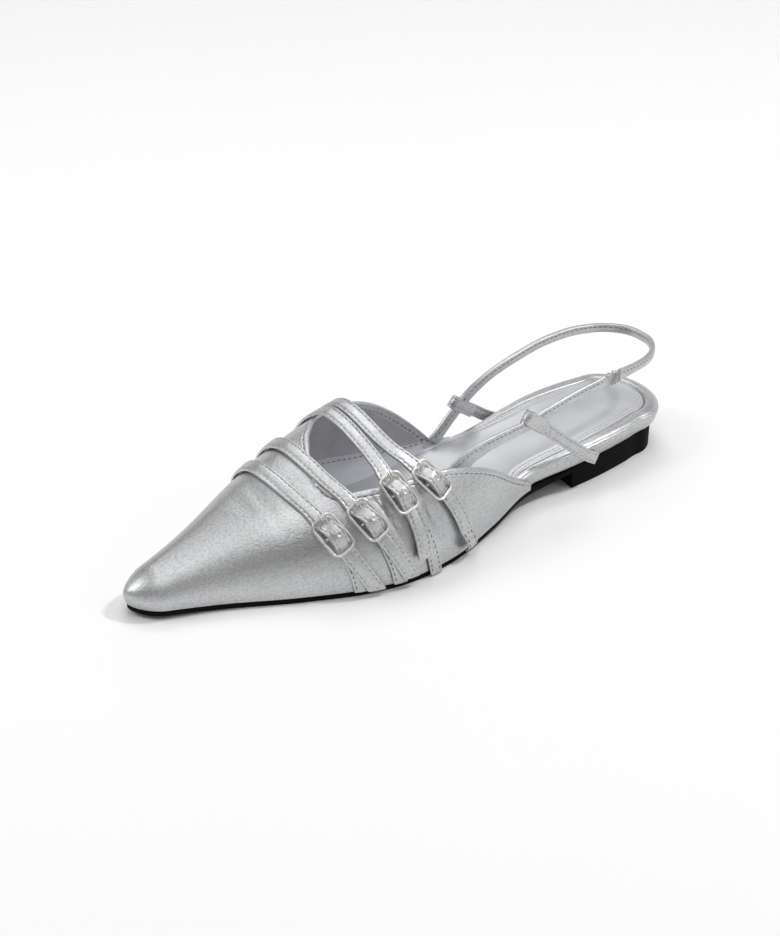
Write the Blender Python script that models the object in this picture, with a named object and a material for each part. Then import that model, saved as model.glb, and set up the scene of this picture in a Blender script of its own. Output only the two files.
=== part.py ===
"""Left slingback flat with a long pointed toe, four buckled instep straps and a low block heel.

Sizes are millimetres along the shoe's own axes and become metres when a mesh is made.
A station runs from the back of the heel to the toe. An angle on the last runs from the lateral
feather edge (0) over the instep ridge (90) to the medial feather edge (180).
+X is the toe, +Y the lateral side, +Z up, and the shoe stands on Z = 0.
"""

import math
from typing import NamedTuple

import bmesh
import bpy
import numpy as np

METRE = 0.001

# Driving sizes
LENGTH = 267.8
GAP = 0.3
WALL = 1.6
OUTSOLE_THICK = 2.5
OUTSOLE_SET_IN = 0.5
EDGE_BREAK = 0.5
HEEL_BACK = 1.3
HEEL_ROUND = 16.0
HEEL_AXIS = -2.9
TOE_ROUND = 11.0
NOSE_HEIGHT = 4.0
WALL_LEAN = 1.2
LEAN_START = 70.0
LEAN_RUN = 30.0

# Stations between the round ends where every layer of the sole has a rib of points
MIDDLE_STATIONS = [24, 32, 41, 52, 60, 70, 77, 81, 84, 89, 93, 96]
MIDDLE_STATIONS += [103, 111, 120, 130, 140, 152, 166, 180, 195, 210, 225, 240]

# Heel block
BREAST_STATION = 60.0
BREAST_HOLLOW = 1.5
HEEL_TOP_SET_IN = 0.7
HEEL_BASE_SET_IN = 1.0

# Footbed with a rolled edge, and the insole let into it
FOOTBED_CLEAR = 0.5
WING_END_LATERAL = 84.0
WING_END_MEDIAL = 96.0
WING_STEP_RUN = 7.0
FOOTBED_TOE_BACK = 8.0
INSOLE_BORDER = 3.8
INSOLE_THICK = 1.2
INSOLE_BELOW_RIM = 0.6

# Instep straps, the straps that anchor their buckles, and the buckles
STRAP_WIDTH = 6.2
STRAP_THICK = 1.2
STRAP_REST = 0.5
ANCHOR_THICK = 0.9
ANCHOR_REST = 0.4
FREE_END_REST = 1.6
BAR_LIFT = 3.0
WIRE_RADIUS = 0.6
BAR_RADIUS = 0.55
BUCKLE_LENGTH = 18.2
BUCKLE_WIDTH = 11.2
BUCKLE_TOEWARD = 1.0
BUCKLE_CORNER = 2.2
PRONG_RADIUS = 0.42
SLOT_WIDTH = 2.0
HUMP_REACH = 7.0
LEVEL_RUN = 8.0

# Slingback and its two keepers
SLING_WIDTH = 4.0
SLING_THICK = 2.2
ELASTIC_SWELL = 0.7
KEEPER_THICK = 0.9
KEEPER_WIDTH = 5.3
KEEPER_CLEAR = 0.55

# Where the shoe's axis lies in the frame, so that the whole part is centred on the origin
FRAME_STATION = 133.618
FRAME_ACROSS = 5.892


class Outline(NamedTuple):
    """Half widths of the feather edge at a station, before the ends are rounded."""

    station: float
    lateral: float
    medial: float


class Level(NamedTuple):
    """A height that follows the station."""

    station: float
    height: float


class Ridge(NamedTuple):
    """The instep ridge: its height over the feather edge, its shift to the lateral side, and the
    power of the section's curve (2 is an ellipse, more is squarer)."""

    station: float
    height: float
    shift: float
    fullness: float


class Fan(NamedTuple):
    """One line of the upper, from the top line down to the hem."""

    top_station: float
    top_angle: float
    hem_station: float
    hem_angle: float


class Track(NamedTuple):
    """A point of a strap's middle line on the last."""

    station: float
    angle: float


class Bend(NamedTuple):
    """A point of a free strap's middle line, with the lean of its face from upright in degrees."""

    station: float
    across: float
    up: float
    lean: float


class BuckledStrap(NamedTuple):
    """An instep strap from the medial hem to its free end, the row its buckle's bar lies on, and the
    anchor strap from that bar to the lateral hem."""

    strap: list
    buckle_row: float
    anchor: list


OUTLINE = [
    Outline(0, 18.0, 23.2),
    Outline(17, 18.1, 23.2),
    Outline(27, 20.4, 23.9),
    Outline(36, 22.2, 24.2),
    Outline(52, 24.4, 24.0),
    Outline(64, 25.2, 23.4),
    Outline(85, 26.2, 24.4),
    Outline(110, 35.2, 29.8),
    Outline(135, 43.6, 34.4),
    Outline(160, 47.2, 36.4),
    Outline(180, 44.2, 34.6),
    Outline(205, 34.6, 27.8),
    Outline(235, 20.6, 15.2),
    Outline(LENGTH, 10.0, 6.0),
]

UNDERSIDE = [
    Level(0, 8.9),
    Level(40, 8.7),
    Level(52, 8.3),
    Level(64, 7.4),
    Level(74, 6.3),
    Level(84, 5.3),
    Level(100, 3.0),
    Level(120, 0.9),
    Level(140, 0.0),
    Level(195, 0.0),
    Level(230, 0.3),
    Level(LENGTH, 2.0),
]

FOOTBED_THICK = [
    Level(0, 9.6),
    Level(40, 9.6),
    Level(70, 8.6),
    Level(90, 7.2),
    Level(110, 5.8),
    Level(140, 4.8),
    Level(220, 4.2),
    Level(LENGTH, 3.4),
]

# How far the footbed's edge flares out over the outline
FOOTBED_FLARE = [
    Level(0, 3.0),
    Level(26, 2.9),
    Level(40, 2.5),
    Level(55, 1.7),
    Level(70, 0.7),
    Level(80, 0.0),
    Level(LENGTH, 0.0),
]


class EdgePoint(NamedTuple):
    """A point of the footbed's edge: how far it is set in, its share of the flare, its share of the
    thickness, and a step up from there."""

    set_in: float
    flare: float
    share: float
    step: float


FOOTBED_EDGE = [
    EdgePoint(0.8, 0.0, 0.0, 0.0),
    EdgePoint(0.1, 0.05, 0.0, 0.7),
    EdgePoint(0.0, 0.52, 0.24, 0.0),
    EdgePoint(0.0, 0.86, 0.52, 0.0),
    EdgePoint(0.0, 1.0, 0.78, 0.0),
    EdgePoint(0.4, 0.95, 1.0, -0.95),
    EdgePoint(1.0, 0.8, 1.0, -0.3),
    EdgePoint(1.7, 0.5, 1.0, 0.0),
    EdgePoint(2.4, 0.2, 1.0, -0.1),
    EdgePoint(3.0, 0.0, 1.0, -0.45),
    EdgePoint(3.4, 0.0, 1.0, -1.1),
    EdgePoint(3.5, 0.0, 1.0, -2.1),
]

RIDGE = [
    Ridge(60, 60.5, -4.0, 2.0),
    Ridge(90, 58.5, -6.0, 2.0),
    Ridge(120, 56.5, -9.0, 2.0),
    Ridge(150, 52.5, -9.5, 2.0),
    Ridge(175, 46.3, -8.0, 2.0),
    Ridge(200, 37.6, -5.5, 2.0),
    Ridge(225, 27.2, -3.0, 2.0),
    Ridge(248, 17.6, -0.5, 2.1),
    Ridge(LENGTH, 10.4, 1.0, 2.2),
]

UPPER_FAN = [
    Fan(84.0, 3.0, 84.0, 0),
    Fan(97.0, 13.5, 97.0, 0),
    Fan(113.0, 27.5, 114.0, 0),
    Fan(133.0, 38.6, 134.0, 0),
    Fan(150.0, 43.0, 152.0, 0),
    Fan(165.6, 47.0, 170.0, 0),
    Fan(176.0, 50.0, 191.0, 0),
    Fan(181.4, 52.8, 214.0, 0),
    Fan(183.8, 56.2, 238.0, 0),
    Fan(184.8, 60.2, 254.0, 0),
    Fan(185.0, 64.2, 262.5, 0),
    Fan(184.8, 68.0, 266.3, 0),
    Fan(184.0, 72.0, LENGTH, 0),
    Fan(181.8, 77.6, LENGTH, 45),
    Fan(178.8, 83.8, LENGTH, 90),
    Fan(174.8, 90.6, LENGTH, 135),
    Fan(171.4, 97.2, LENGTH, 180),
    Fan(168.8, 102.4, 266.3, 180),
    Fan(166.2, 107.2, 262.5, 180),
    Fan(163.4, 111.2, 254.0, 180),
    Fan(160.2, 114.6, 238.0, 180),
    Fan(155.8, 117.6, 214.0, 180),
    Fan(150.2, 120.8, 191.0, 180),
    Fan(142.6, 126.0, 170.0, 180),
    Fan(132.0, 135.6, 150.0, 180),
    Fan(120.6, 147.6, 132.0, 180),
    Fan(109.0, 161.0, 114.0, 180),
    Fan(97.0, 176.0, 96.0, 180),
]
LINES_PER_FAN_ROW = 2
UPPER_ROWS = 12
HEMWARD = 1.7

BUCKLED_STRAPS = [
    BuckledStrap(
        strap=[
            Track(193.5, 177),
            Track(197.5, 150),
            Track(199.8, 122),
            Track(200.2, 98),
            Track(199.2, 77),
            Track(197.0, 61),
            Track(193.2, 46),
            Track(190.4, 35.6),
            Track(187.4, 24.8),
            Track(183.2, 13),
            Track(177.9, 0.4),
        ],
        buckle_row=7.0,
        anchor=[Track(190.4, 35.6), Track(187.6, 24.8), Track(185.6, 13), Track(183.8, 0.2)],
    ),
    BuckledStrap(
        strap=[
            Track(180.5, 177),
            Track(183.6, 150),
            Track(185.4, 122),
            Track(185.8, 98),
            Track(185.0, 76),
            Track(183.2, 61.5),
            Track(178.8, 46),
            Track(175.6, 36.4),
            Track(172.2, 26.6),
            Track(167.4, 14.5),
            Track(162.4, 2.4),
        ],
        buckle_row=7.0,
        anchor=[Track(175.6, 36.4), Track(172.4, 26.6), Track(169.6, 14), Track(167.0, 0.2)],
    ),
    BuckledStrap(
        strap=[
            Track(166.5, 177),
            Track(165.4, 150),
            Track(163.4, 118),
            Track(161.9, 95),
            Track(161.9, 77),
            Track(161.7, 64),
            Track(160.8, 50),
            Track(159.2, 41.2),
            Track(157.2, 32.4),
            Track(155.8, 21),
            Track(155.4, 9.4),
        ],
        buckle_row=7.0,
        anchor=[Track(159.2, 41.2), Track(156.8, 31.5), Track(152.6, 16), Track(148.8, -2.0)],
    ),
    BuckledStrap(
        strap=[
            Track(158.0, 177),
            Track(157.2, 150),
            Track(155.9, 118),
            Track(155.1, 95),
            Track(154.9, 73),
            Track(152.8, 59.5),
            Track(147.4, 47.6),
            Track(143.2, 39.4),
            Track(138.9, 31.2),
            Track(134.4, 20),
            Track(131.2, 10.4),
        ],
        buckle_row=7.0,
        anchor=[Track(143.2, 39.4), Track(138.9, 31.2), Track(133.0, 15), Track(128.4, -2.4)],
    ),
]
STRAP_STEPS_PER_ROW = 4

SLING_FRONT = [
    Bend(136, 29.6, 28.0, 34),
    Bend(128, 29.2, 32.0, 28),
    Bend(119, 28.6, 36.6, 16),
    Bend(108, 27.6, 39.0, 6),
    Bend(96, 26.3, 39.8, 0),
    Bend(86, 25.0, 40.0, 0),
    Bend(74, 23.8, 41.8, 0),
    Bend(64, 22.9, 43.3, 0),
    Bend(53, 22.0, 44.7, 0),
    Bend(41.5, 21.1, 45.5, 0),
]
SLING_ELASTIC = [
    Bend(41.1, 21.1, 45.5, 0),
    Bend(37, 20.7, 45.6, 0),
    Bend(33, 20.2, 45.6, 0),
]
SLING_BACK = [
    Bend(32.6, 20.15, 45.6, 0),
    Bend(28, 19.4, 45.5, 0),
    Bend(22, 18.2, 45.4, 0),
    Bend(14.5, 16.0, 45.2, 0),
    Bend(8, 12.1, 45.0, 0),
    Bend(3, 6.6, 44.9, 0),
    Bend(0.6, -0.6, 44.9, 0),
    Bend(0.9, -7.4, 44.9, 0),
    Bend(3.8, -14.0, 45.0, 0),
    Bend(9.6, -19.2, 45.2, 0),
    Bend(17, -22.0, 45.6, 0),
    Bend(28, -23.2, 46.1, 0),
    Bend(41, -22.8, 45.8, 0),
    Bend(54, -22.2, 43.7, 0),
    Bend(65, -21.8, 41.0, 0),
    Bend(74, -21.8, 37.4, 0),
    Bend(82, -22.3, 32.2, 0),
    Bend(90, -23.0, 24.2, 2),
    Bend(96, -23.5, 17.6, 3),
    Bend(99.5, -23.9, 14.2, 4),
]
BEND_STEPS_PER_ROW = 3

LATERAL_LOOP_ROW = 5.35
LATERAL_LEG = [
    Bend(77.4, 25.4, 36.6, 0),
    Bend(70, 27.0, 29.6, 0),
    Bend(60, 28.1, 20.8, 0),
    Bend(55, 27.9, 16.6, 0),
    Bend(50.4, 26.7, 12.4, 0),
]
MEDIAL_LOOP_ROW = 16.35
MEDIAL_LEG = [
    Bend(80.6, -25.2, 26.0, 0),
    Bend(75, -26.4, 21.6, 0),
    Bend(68, -26.5, 16.6, 0),
    Bend(61.5, -26.7, 12.0, 0),
]


class Finish(NamedTuple):
    """A plain finish for a solid."""

    colour: tuple
    roughness: float
    metallic: float


FOIL_LEATHER = Finish((0.62, 0.63, 0.64), 0.36, 0.85)
LINING = Finish((0.58, 0.58, 0.62), 0.48, 0.55)
BLACK_RUBBER = Finish((0.012, 0.012, 0.013), 0.55, 0.0)
NICKEL = Finish((0.78, 0.77, 0.74), 0.16, 1.0)


def smooth(rows, column, at):
    """A cubic through one column of a table, with slopes held back so that it never overshoots a row."""
    table = np.array(rows, float)
    knots, values = table[:, 0], table[:, rows[0]._fields.index(column)]
    return hermite(knots, values, at)


def hermite(knots, values, at):
    """The cubic of smooth() from plain arrays of knots and values."""
    steps = np.diff(values) / np.diff(knots)
    slopes = np.gradient(values, knots)
    before, after = steps[:-1], steps[1:]
    most = 3 * np.minimum(np.abs(before), np.abs(after))
    slopes[1:-1] = np.where(before * after > 0, np.clip(slopes[1:-1], -most, most), 0)
    at = np.clip(np.asarray(at, float), knots[0], knots[-1])
    i = np.clip(np.searchsorted(knots, at, "right") - 1, 0, len(knots) - 2)
    span = knots[i + 1] - knots[i]
    u = (at - knots[i]) / span
    start = (1 + 2 * u) * (1 - u) ** 2 * values[i] + u * (1 - u) ** 2 * span * slopes[i]
    end = u**2 * (3 - 2 * u) * values[i + 1] + u**2 * (u - 1) * span * slopes[i + 1]
    return start + end


def sampled(rows, steps_per_row):
    """Every column of a table as a smooth curve over its row number, with steps between the rows."""
    index = np.arange(len(rows), dtype=float)
    at = np.linspace(0, len(rows) - 1, (len(rows) - 1) * steps_per_row + 1)
    return [hermite(index, np.array(column, float), at) for column in zip(*rows)]


def ease(share):
    """0 to 1 with level ends."""
    share = np.clip(share, 0, 1)
    return share**2 * (3 - 2 * share)


def unit(vectors):
    """Vectors at length 1."""
    return vectors / np.linalg.norm(vectors, axis=-1, keepdims=True)


def rounded_end(distance, radius):
    """The share of full width at a distance from a round end of that radius."""
    share = np.clip(1 - distance / radius, 0, 1)
    return np.sqrt(1 - share**2)


def underside(station):
    """Height of the outsole's underside."""
    return smooth(UNDERSIDE, "height", station)


def feather(station):
    """Height of the feather edge, where the upper and the footbed meet the outsole."""
    return underside(station) + OUTSOLE_THICK + GAP


def in_frame(station, across, up):
    """Points of the part's frame, in millimetres."""
    return np.stack(np.broadcast_arrays(station - FRAME_STATION, across - FRAME_ACROSS, up), -1)


def on_last(station, angle, out=0.0):
    """Points of the last, moved out from the upper's outer face. Each section is two quarter curves that
    meet at the ridge, and its lower wall leans out along the outline's own normal."""
    station, angle, out = np.broadcast_arrays(
        np.asarray(station, float), np.asarray(angle, float), np.asarray(out, float)
    )
    at = station + out * ease(1 - (LENGTH - station) / (2 * TOE_ROUND))
    toe_radius = TOE_ROUND + out
    tip = rounded_end(LENGTH + out - at, toe_radius)
    turn = np.cos(np.radians(np.clip(angle, 0, 180)))
    rise = np.sin(np.radians(angle))
    is_lateral = turn >= 0
    lateral = smooth(OUTLINE, "lateral", at)
    medial = smooth(OUTLINE, "medial", at)
    ahead, behind = at + 0.5, at - 0.5
    lateral_slope = smooth(OUTLINE, "lateral", ahead) - smooth(OUTLINE, "lateral", behind)
    medial_slope = smooth(OUTLINE, "medial", ahead) - smooth(OUTLINE, "medial", behind)
    width = np.where(is_lateral, lateral, medial) + out
    slope = np.where(is_lateral, lateral_slope, medial_slope)
    shift = smooth(RIDGE, "shift", at) * tip
    power = 2 / smooth(RIDGE, "fullness", at)
    ridge = smooth(RIDGE, "height", at)
    height = NOSE_HEIGHT + (ridge - NOSE_HEIGHT) * tip + out
    side = np.where(is_lateral, 1.0, -1.0)
    reach = width * tip - side * shift
    share_up = np.sign(rise) * np.abs(rise) ** power
    across = shift + side * reach * np.abs(turn) ** power
    normal_along = np.sqrt(1 - tip**2) * width / toe_radius - slope * tip
    normal_size = np.hypot(normal_along, tip)
    share_of_ridge = share_up * height / (ridge + out)
    bow = np.clip(4 * share_of_ridge * (1 - share_of_ridge), 0, 1)
    lean = WALL_LEAN * bow * np.clip((at - LEAN_START) / LEAN_RUN, 0, 1)
    return in_frame(
        at + lean * normal_along / normal_size,
        across + side * lean * tip / normal_size,
        feather(at) + height * share_up,
    )


def finish_material(name, finish):
    """A Principled material with a finish's values."""
    material = bpy.data.materials.new(name)
    material.use_nodes = True
    shader = material.node_tree.nodes["Principled BSDF"]
    shader.inputs["Base Color"].default_value = (*finish.colour, 1)
    shader.inputs["Roughness"].default_value = finish.roughness
    shader.inputs["Metallic"].default_value = finish.metallic
    return material


def new_object(name, form, finish):
    """An object from a closed bmesh in millimetres: doubles merged, faces turned out, in metres."""
    bmesh.ops.remove_doubles(form, verts=form.verts, dist=0.001)
    bmesh.ops.recalc_face_normals(form, faces=form.faces)
    if form.calc_volume(signed=True) < 0:
        bmesh.ops.reverse_faces(form, faces=form.faces)
    bmesh.ops.scale(form, vec=(METRE,) * 3, verts=form.verts)
    mesh = bpy.data.meshes.new(name)
    form.to_mesh(mesh)
    form.free()
    mesh.shade_smooth()
    mesh.set_sharp_from_angle(angle=math.radians(40))
    obj = bpy.data.objects.new(name, mesh)
    bpy.context.scene.collection.objects.link(obj)
    if finish:
        obj.data.materials.append(finish_material(name, finish))
    return obj


def add_grid(form, points, closed=False):
    """Quads over an array of points, rows by columns; closed joins the last column to the first."""
    rows, columns = points.shape[:2]
    verts = [[form.verts.new(point) for point in row] for row in points]
    for i in range(rows - 1):
        for j in range(columns if closed else columns - 1):
            k = (j + 1) % columns
            form.faces.new((verts[i][j], verts[i][k], verts[i + 1][k], verts[i + 1][j]))
    return verts


def shell(name, outer, inner, rimmed, finish):
    """A wall between two grids of points. Its first row and its first and last columns have a rim, and its
    last row has one along the columns that are marked as rimmed; the rest of that row folds onto itself."""
    form = bmesh.new()
    out = add_grid(form, outer)
    into = add_grid(form, inner)
    edges = [(out[0], into[0], True), (out[-1], into[-1], False)]
    edges += [([row[i] for row in out], [row[i] for row in into], True) for i in (0, -1)]
    for near, far, whole in edges:
        for i in range(len(near) - 1):
            if whole or (rimmed[i] and rimmed[i + 1]):
                form.faces.new((near[i], near[i + 1], far[i + 1], far[i]))
    return new_object(name, form, finish)


def slab(name, inner, outer, finish):
    """A strap between two grids of points, with its edges and ends closed."""
    return sweep(name, np.concatenate([inner, outer[:, ::-1]], 1), finish)


def sweep(name, sections, finish, ring=False):
    """A solid through an array of closed sections: capped at both ends, or joined into a ring."""
    form = bmesh.new()
    if ring:
        add_grid(form, np.concatenate([sections, sections[:1]]), closed=True)
    else:
        verts = add_grid(form, sections, closed=True)
        form.faces.new(verts[0])
        form.faces.new(verts[-1])
    return new_object(name, form, finish)


def tube(name, path, radius, finish, sides, ring=False):
    """A round bar along a path that bends in one plane or runs straight."""
    ends = (np.roll(path, -1, 0) - np.roll(path, 1, 0)) if ring else np.gradient(path, axis=0)
    along = unit(ends)
    flat = np.linalg.svd(path - path.mean(0))[2][2]
    first = np.broadcast_to(flat, path.shape)
    second = np.cross(along, first)
    turn = np.linspace(0, 2 * np.pi, sides, endpoint=False)[:, None]
    circles = [p + radius * (np.cos(turn) * a + np.sin(turn) * b) for p, a, b in zip(path, first, second)]
    return sweep(name, np.array(circles), finish, ring)


def boolean(obj, tool, operation):
    """Joins a hidden tool to an object, or cuts it away."""
    tool.hide_render = True
    tool.display_type = "WIRE"
    modifier = obj.modifiers.new(tool.name, "BOOLEAN")
    modifier.operation = operation
    modifier.object = tool
    modifier.solver = "EXACT"


class Ring(NamedTuple):
    """One level of a sole layer: how far it is set out from the outline behind and ahead of the upper's
    ends, its height over the layer's base, and its share of the flare."""

    out_back: float
    out_front: float
    height: object
    flare: float = 0.0


def side_stations(out_back, out_front, toe_end, end):
    """Stations from the heel's back to an end, close together where the outline turns."""
    heel = HEEL_BACK - out_back + (HEEL_ROUND + out_back) * (1 - np.cos(np.linspace(0, np.pi / 2, 8)))
    middle = np.array(MIDDLE_STATIONS)
    toe = toe_end + out_front - (TOE_ROUND + out_front) * (1 - np.cos(np.linspace(np.pi / 2, 0, 6)))
    stations = np.concatenate([heel, middle, toe])
    return stations[stations <= end + 1e-6]


def layer_side(ring, side, switch, toe_end, end):
    """Stations and half widths of a layer's one side."""
    back = ring.out_back + ring.flare * FOOTBED_FLARE[0].height
    stations = side_stations(back, ring.out_front, toe_end, end)
    share = ease((stations - switch + WING_STEP_RUN) / WING_STEP_RUN)
    out = ring.out_back + (ring.out_front - ring.out_back) * share
    out = out + ring.flare * smooth(FOOTBED_FLARE, "height", stations)
    heel = rounded_end(stations - HEEL_BACK + back, HEEL_ROUND + back)
    toe = rounded_end(toe_end + ring.out_front - stations, TOE_ROUND + ring.out_front)
    axis = HEEL_AXIS if side == "lateral" else -HEEL_AXIS
    return stations, axis + ((smooth(OUTLINE, side, stations) + out) * toe - axis) * heel


def layer(name, rings, base, finish, toe_end=LENGTH, end=LENGTH, hollow=0.0):
    """A closed layer of the sole: rings of points round the outline joined in order, with the first and
    the last filled from side to side. It stops at a station with a hollow breast if that is short of
    the toe."""
    form = bmesh.new()
    levels = []
    for ring in rings:
        stations, lateral = layer_side(ring, "lateral", WING_END_LATERAL, toe_end, end)
        _, medial = layer_side(ring, "medial", WING_END_MEDIAL, toe_end, end)
        up = base(stations) + (ring.height(stations) if callable(ring.height) else ring.height)
        left = [form.verts.new(p) for p in in_frame(stations, lateral, up)]
        right = [form.verts.new(p) for p in in_frame(stations, -medial, up)]
        breast = []
        if hollow:
            middle = in_frame(stations[-1] - hollow, (lateral[-1] - medial[-1]) / 2, up[-1])
            breast = [form.verts.new(middle)]
        levels.append((left, right, breast))
    for (left, right, breast), (left_up, right_up, breast_up) in zip(levels[:-1], levels[1:]):
        low = left + breast + right[::-1]
        high = left_up + breast_up + right_up[::-1]
        for i in range(len(low)):
            k = (i + 1) % len(low)
            form.faces.new((low[i], low[k], high[k], high[i]))
    for left, right, breast in (levels[0], levels[-1]):
        for i in range(len(left) - 1):
            last = breast if i == len(left) - 2 else []
            form.faces.new([left[i], left[i + 1], *last, right[i + 1], right[i]])
    return new_object(name, form, finish)


def make_outsole():
    """The black outsole: flat under the ball, lifted at the arch and the toe, its lower edge broken."""
    set_in = -OUTSOLE_SET_IN
    rings = [
        Ring(set_in - EDGE_BREAK, set_in - EDGE_BREAK, 0.0),
        Ring(set_in, set_in, EDGE_BREAK),
        Ring(set_in, set_in, OUTSOLE_THICK),
    ]
    return layer("outsole", rings, underside, BLACK_RUBBER)


def make_heel():
    """The low block heel under the outsole's seat, smaller at its base, with a hollow breast."""

    def top(station):
        return underside(station) - GAP

    def level(station):
        return np.zeros_like(station)

    rings = [
        Ring(-HEEL_BASE_SET_IN - EDGE_BREAK, 0, 0.0),
        Ring(-HEEL_BASE_SET_IN, 0, EDGE_BREAK),
        Ring(-HEEL_TOP_SET_IN, 0, top),
    ]
    return layer("heel", rings, level, BLACK_RUBBER, end=BREAST_STATION, hollow=BREAST_HOLLOW)


def footbed_top(station):
    """Height of the footbed's upper face."""
    return feather(station) + smooth(FOOTBED_THICK, "height", station)


def make_footbed():
    """The covered footbed: a rolled edge that flares out round the heel, and a recess for the insole."""
    front = -WALL - FOOTBED_CLEAR
    rings = []
    for point in FOOTBED_EDGE:

        def height(station, point=point):
            return smooth(FOOTBED_THICK, "height", station) * point.share + point.step

        rings.append(Ring(-point.set_in, front - point.set_in, height, point.flare))
    return layer("footbed", rings, feather, FOIL_LEATHER, toe_end=LENGTH - FOOTBED_TOE_BACK)


def make_insole():
    """The stitched insole that lies in the footbed's recess, below its rim."""

    def base(station):
        return footbed_top(station) - INSOLE_BELOW_RIM - INSOLE_THICK

    front = -WALL - FOOTBED_CLEAR
    edge = -INSOLE_BORDER
    rings = [
        Ring(edge, front + edge, 0.0),
        Ring(edge, front + edge, INSOLE_THICK - EDGE_BREAK),
        Ring(edge - EDGE_BREAK, front + edge - EDGE_BREAK, INSOLE_THICK),
    ]
    return layer("insole", rings, base, LINING, toe_end=LENGTH - FOOTBED_TOE_BACK)


def make_upper():
    """The hollow upper: a fan of lines from the top line to the hem, closed round the nose, with a wall."""
    top_station, top_angle, hem_station, hem_angle = sampled(UPPER_FAN, LINES_PER_FAN_ROW)
    down = 1 - np.linspace(1, 0, UPPER_ROWS)[:, None] ** HEMWARD
    station = top_station + (hem_station - top_station) * down
    angle = top_angle + (hem_angle - top_angle) * down
    on_hem = (hem_station < LENGTH) | (hem_angle == 0) | (hem_angle == 180)
    return shell("upper", on_last(station, angle), on_last(station, angle, -WALL), on_hem, FOIL_LEATHER)


def surface_frame(station, angle, out):
    """Slopes of the last along the station and along the angle, and its outward normal."""
    step_station, step_angle = 0.5, 0.5
    along = (on_last(station + step_station, angle, out) - on_last(station - step_station, angle, out)) / (
        2 * step_station
    )
    round_ = (on_last(station, angle + step_angle, out) - on_last(station, angle - step_angle, out)) / (
        2 * step_angle
    )
    return along, round_, unit(np.cross(round_, along))


def strap_faces(station, angle, lift, thick):
    """A strap's inner and outer faces as it lies on the last at a given lift: left edge, middle, right edge.
    Its last few millimetres turn from square to its run to level with the hem."""
    middle = on_last(station, angle, lift)
    along, round_, normal = surface_frame(station, np.clip(angle, 1, 179), lift)
    square = unit(np.cross(normal, np.gradient(middle, axis=0)))
    level = unit(along) * np.sign((unit(along) * square).sum(1, keepdims=True))
    level = level / np.maximum((level * square).sum(1, keepdims=True), 0.5)
    travel = run_length(middle)
    turned = ease(1 - (travel[-1] - travel) / LEVEL_RUN)[:, None]
    side = (square + (level - square) * turned) * STRAP_WIDTH / 2
    slopes = np.stack([along, round_], -1)
    moves = np.array([np.linalg.lstsq(a, b, rcond=None)[0] for a, b in zip(slopes, side)])
    way = np.array([1.0, 0.0, -1.0])
    stations = station[:, None] + moves[:, :1] * way
    angles = angle[:, None] + moves[:, 1:] * way
    lifts = lift[:, None] + 0 * way
    return on_last(stations, angles, lifts), on_last(stations, angles, lifts + thick)


def run_length(points):
    """Distance along a line of points."""
    return np.concatenate([[0], np.cumsum(np.linalg.norm(np.diff(points, axis=0), axis=1))])


class BuckleFrame(NamedTuple):
    """Where a buckle's bar lies: its middle, the way along the strap towards the instep, the way across
    it, and the way out from the foot."""

    middle: np.ndarray
    up_strap: np.ndarray
    across: np.ndarray
    out: np.ndarray

    def place(self, along, across, out):
        """Frame points from distances along the strap, across it and out from the bar."""
        along, across, out = np.broadcast_arrays(*(np.asarray(v, float) for v in (along, across, out)))
        return (
            self.middle
            + along[..., None] * self.up_strap
            + across[..., None] * self.across
            + out[..., None] * self.out
        )


def buckle_frame(station, angle, row):
    """The frame of a buckle on one row of its strap."""
    path = on_last(station, angle, BAR_LIFT)
    i = round(row * STRAP_STEPS_PER_ROW)
    _, _, normal = surface_frame(station[i], angle[i], BAR_LIFT)
    chord = path[i - STRAP_STEPS_PER_ROW] - path[i + STRAP_STEPS_PER_ROW]
    up_strap = unit(chord - normal * (chord @ normal))
    across = np.cross(normal, up_strap)
    return BuckleFrame(path[i], up_strap, across, normal)


def box_tool(name, frame, along, across, out):
    """A box in a buckle's frame, from its limits along, across and out."""
    corners = [(along[0], across[0]), (along[1], across[0]), (along[1], across[1]), (along[0], across[1])]
    sections = [[frame.place(a, b, level) for a, b in corners] for level in out]
    return sweep(name, np.array(sections), None)


def make_strap(number, buckled, frame):
    """An instep strap: it lies on the upper, rises over its buckle's bar and lies down again as the free
    end, with a slot for the prong where it crosses the bar."""
    station, angle = sampled(buckled.strap, STRAP_STEPS_PER_ROW)
    travel = run_length(on_last(station, angle))
    past_bar = travel - travel[round(buckled.buckle_row * STRAP_STEPS_PER_ROW)]
    rest = STRAP_REST + (FREE_END_REST - STRAP_REST) * ease((past_bar + 9) / 10)
    over_bar = BAR_LIFT + BAR_RADIUS + GAP + 0.15
    bar_rest = STRAP_REST + (FREE_END_REST - STRAP_REST) * float(ease(0.9))
    hump = (over_bar - bar_rest) * np.clip(1 - (past_bar / HUMP_REACH) ** 2, 0, 1) ** 1.5
    inner, outer = strap_faces(station, angle, rest + hump, STRAP_THICK)
    strap = slab(f"strap_{number}", inner, outer, FOIL_LEATHER)
    half = SLOT_WIDTH / 2
    boolean(strap, box_tool(f"strap_slot_{number}", frame, (-2.0, 2.2), (-half, half), (-3, 6)), "DIFFERENCE")
    return strap


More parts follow.
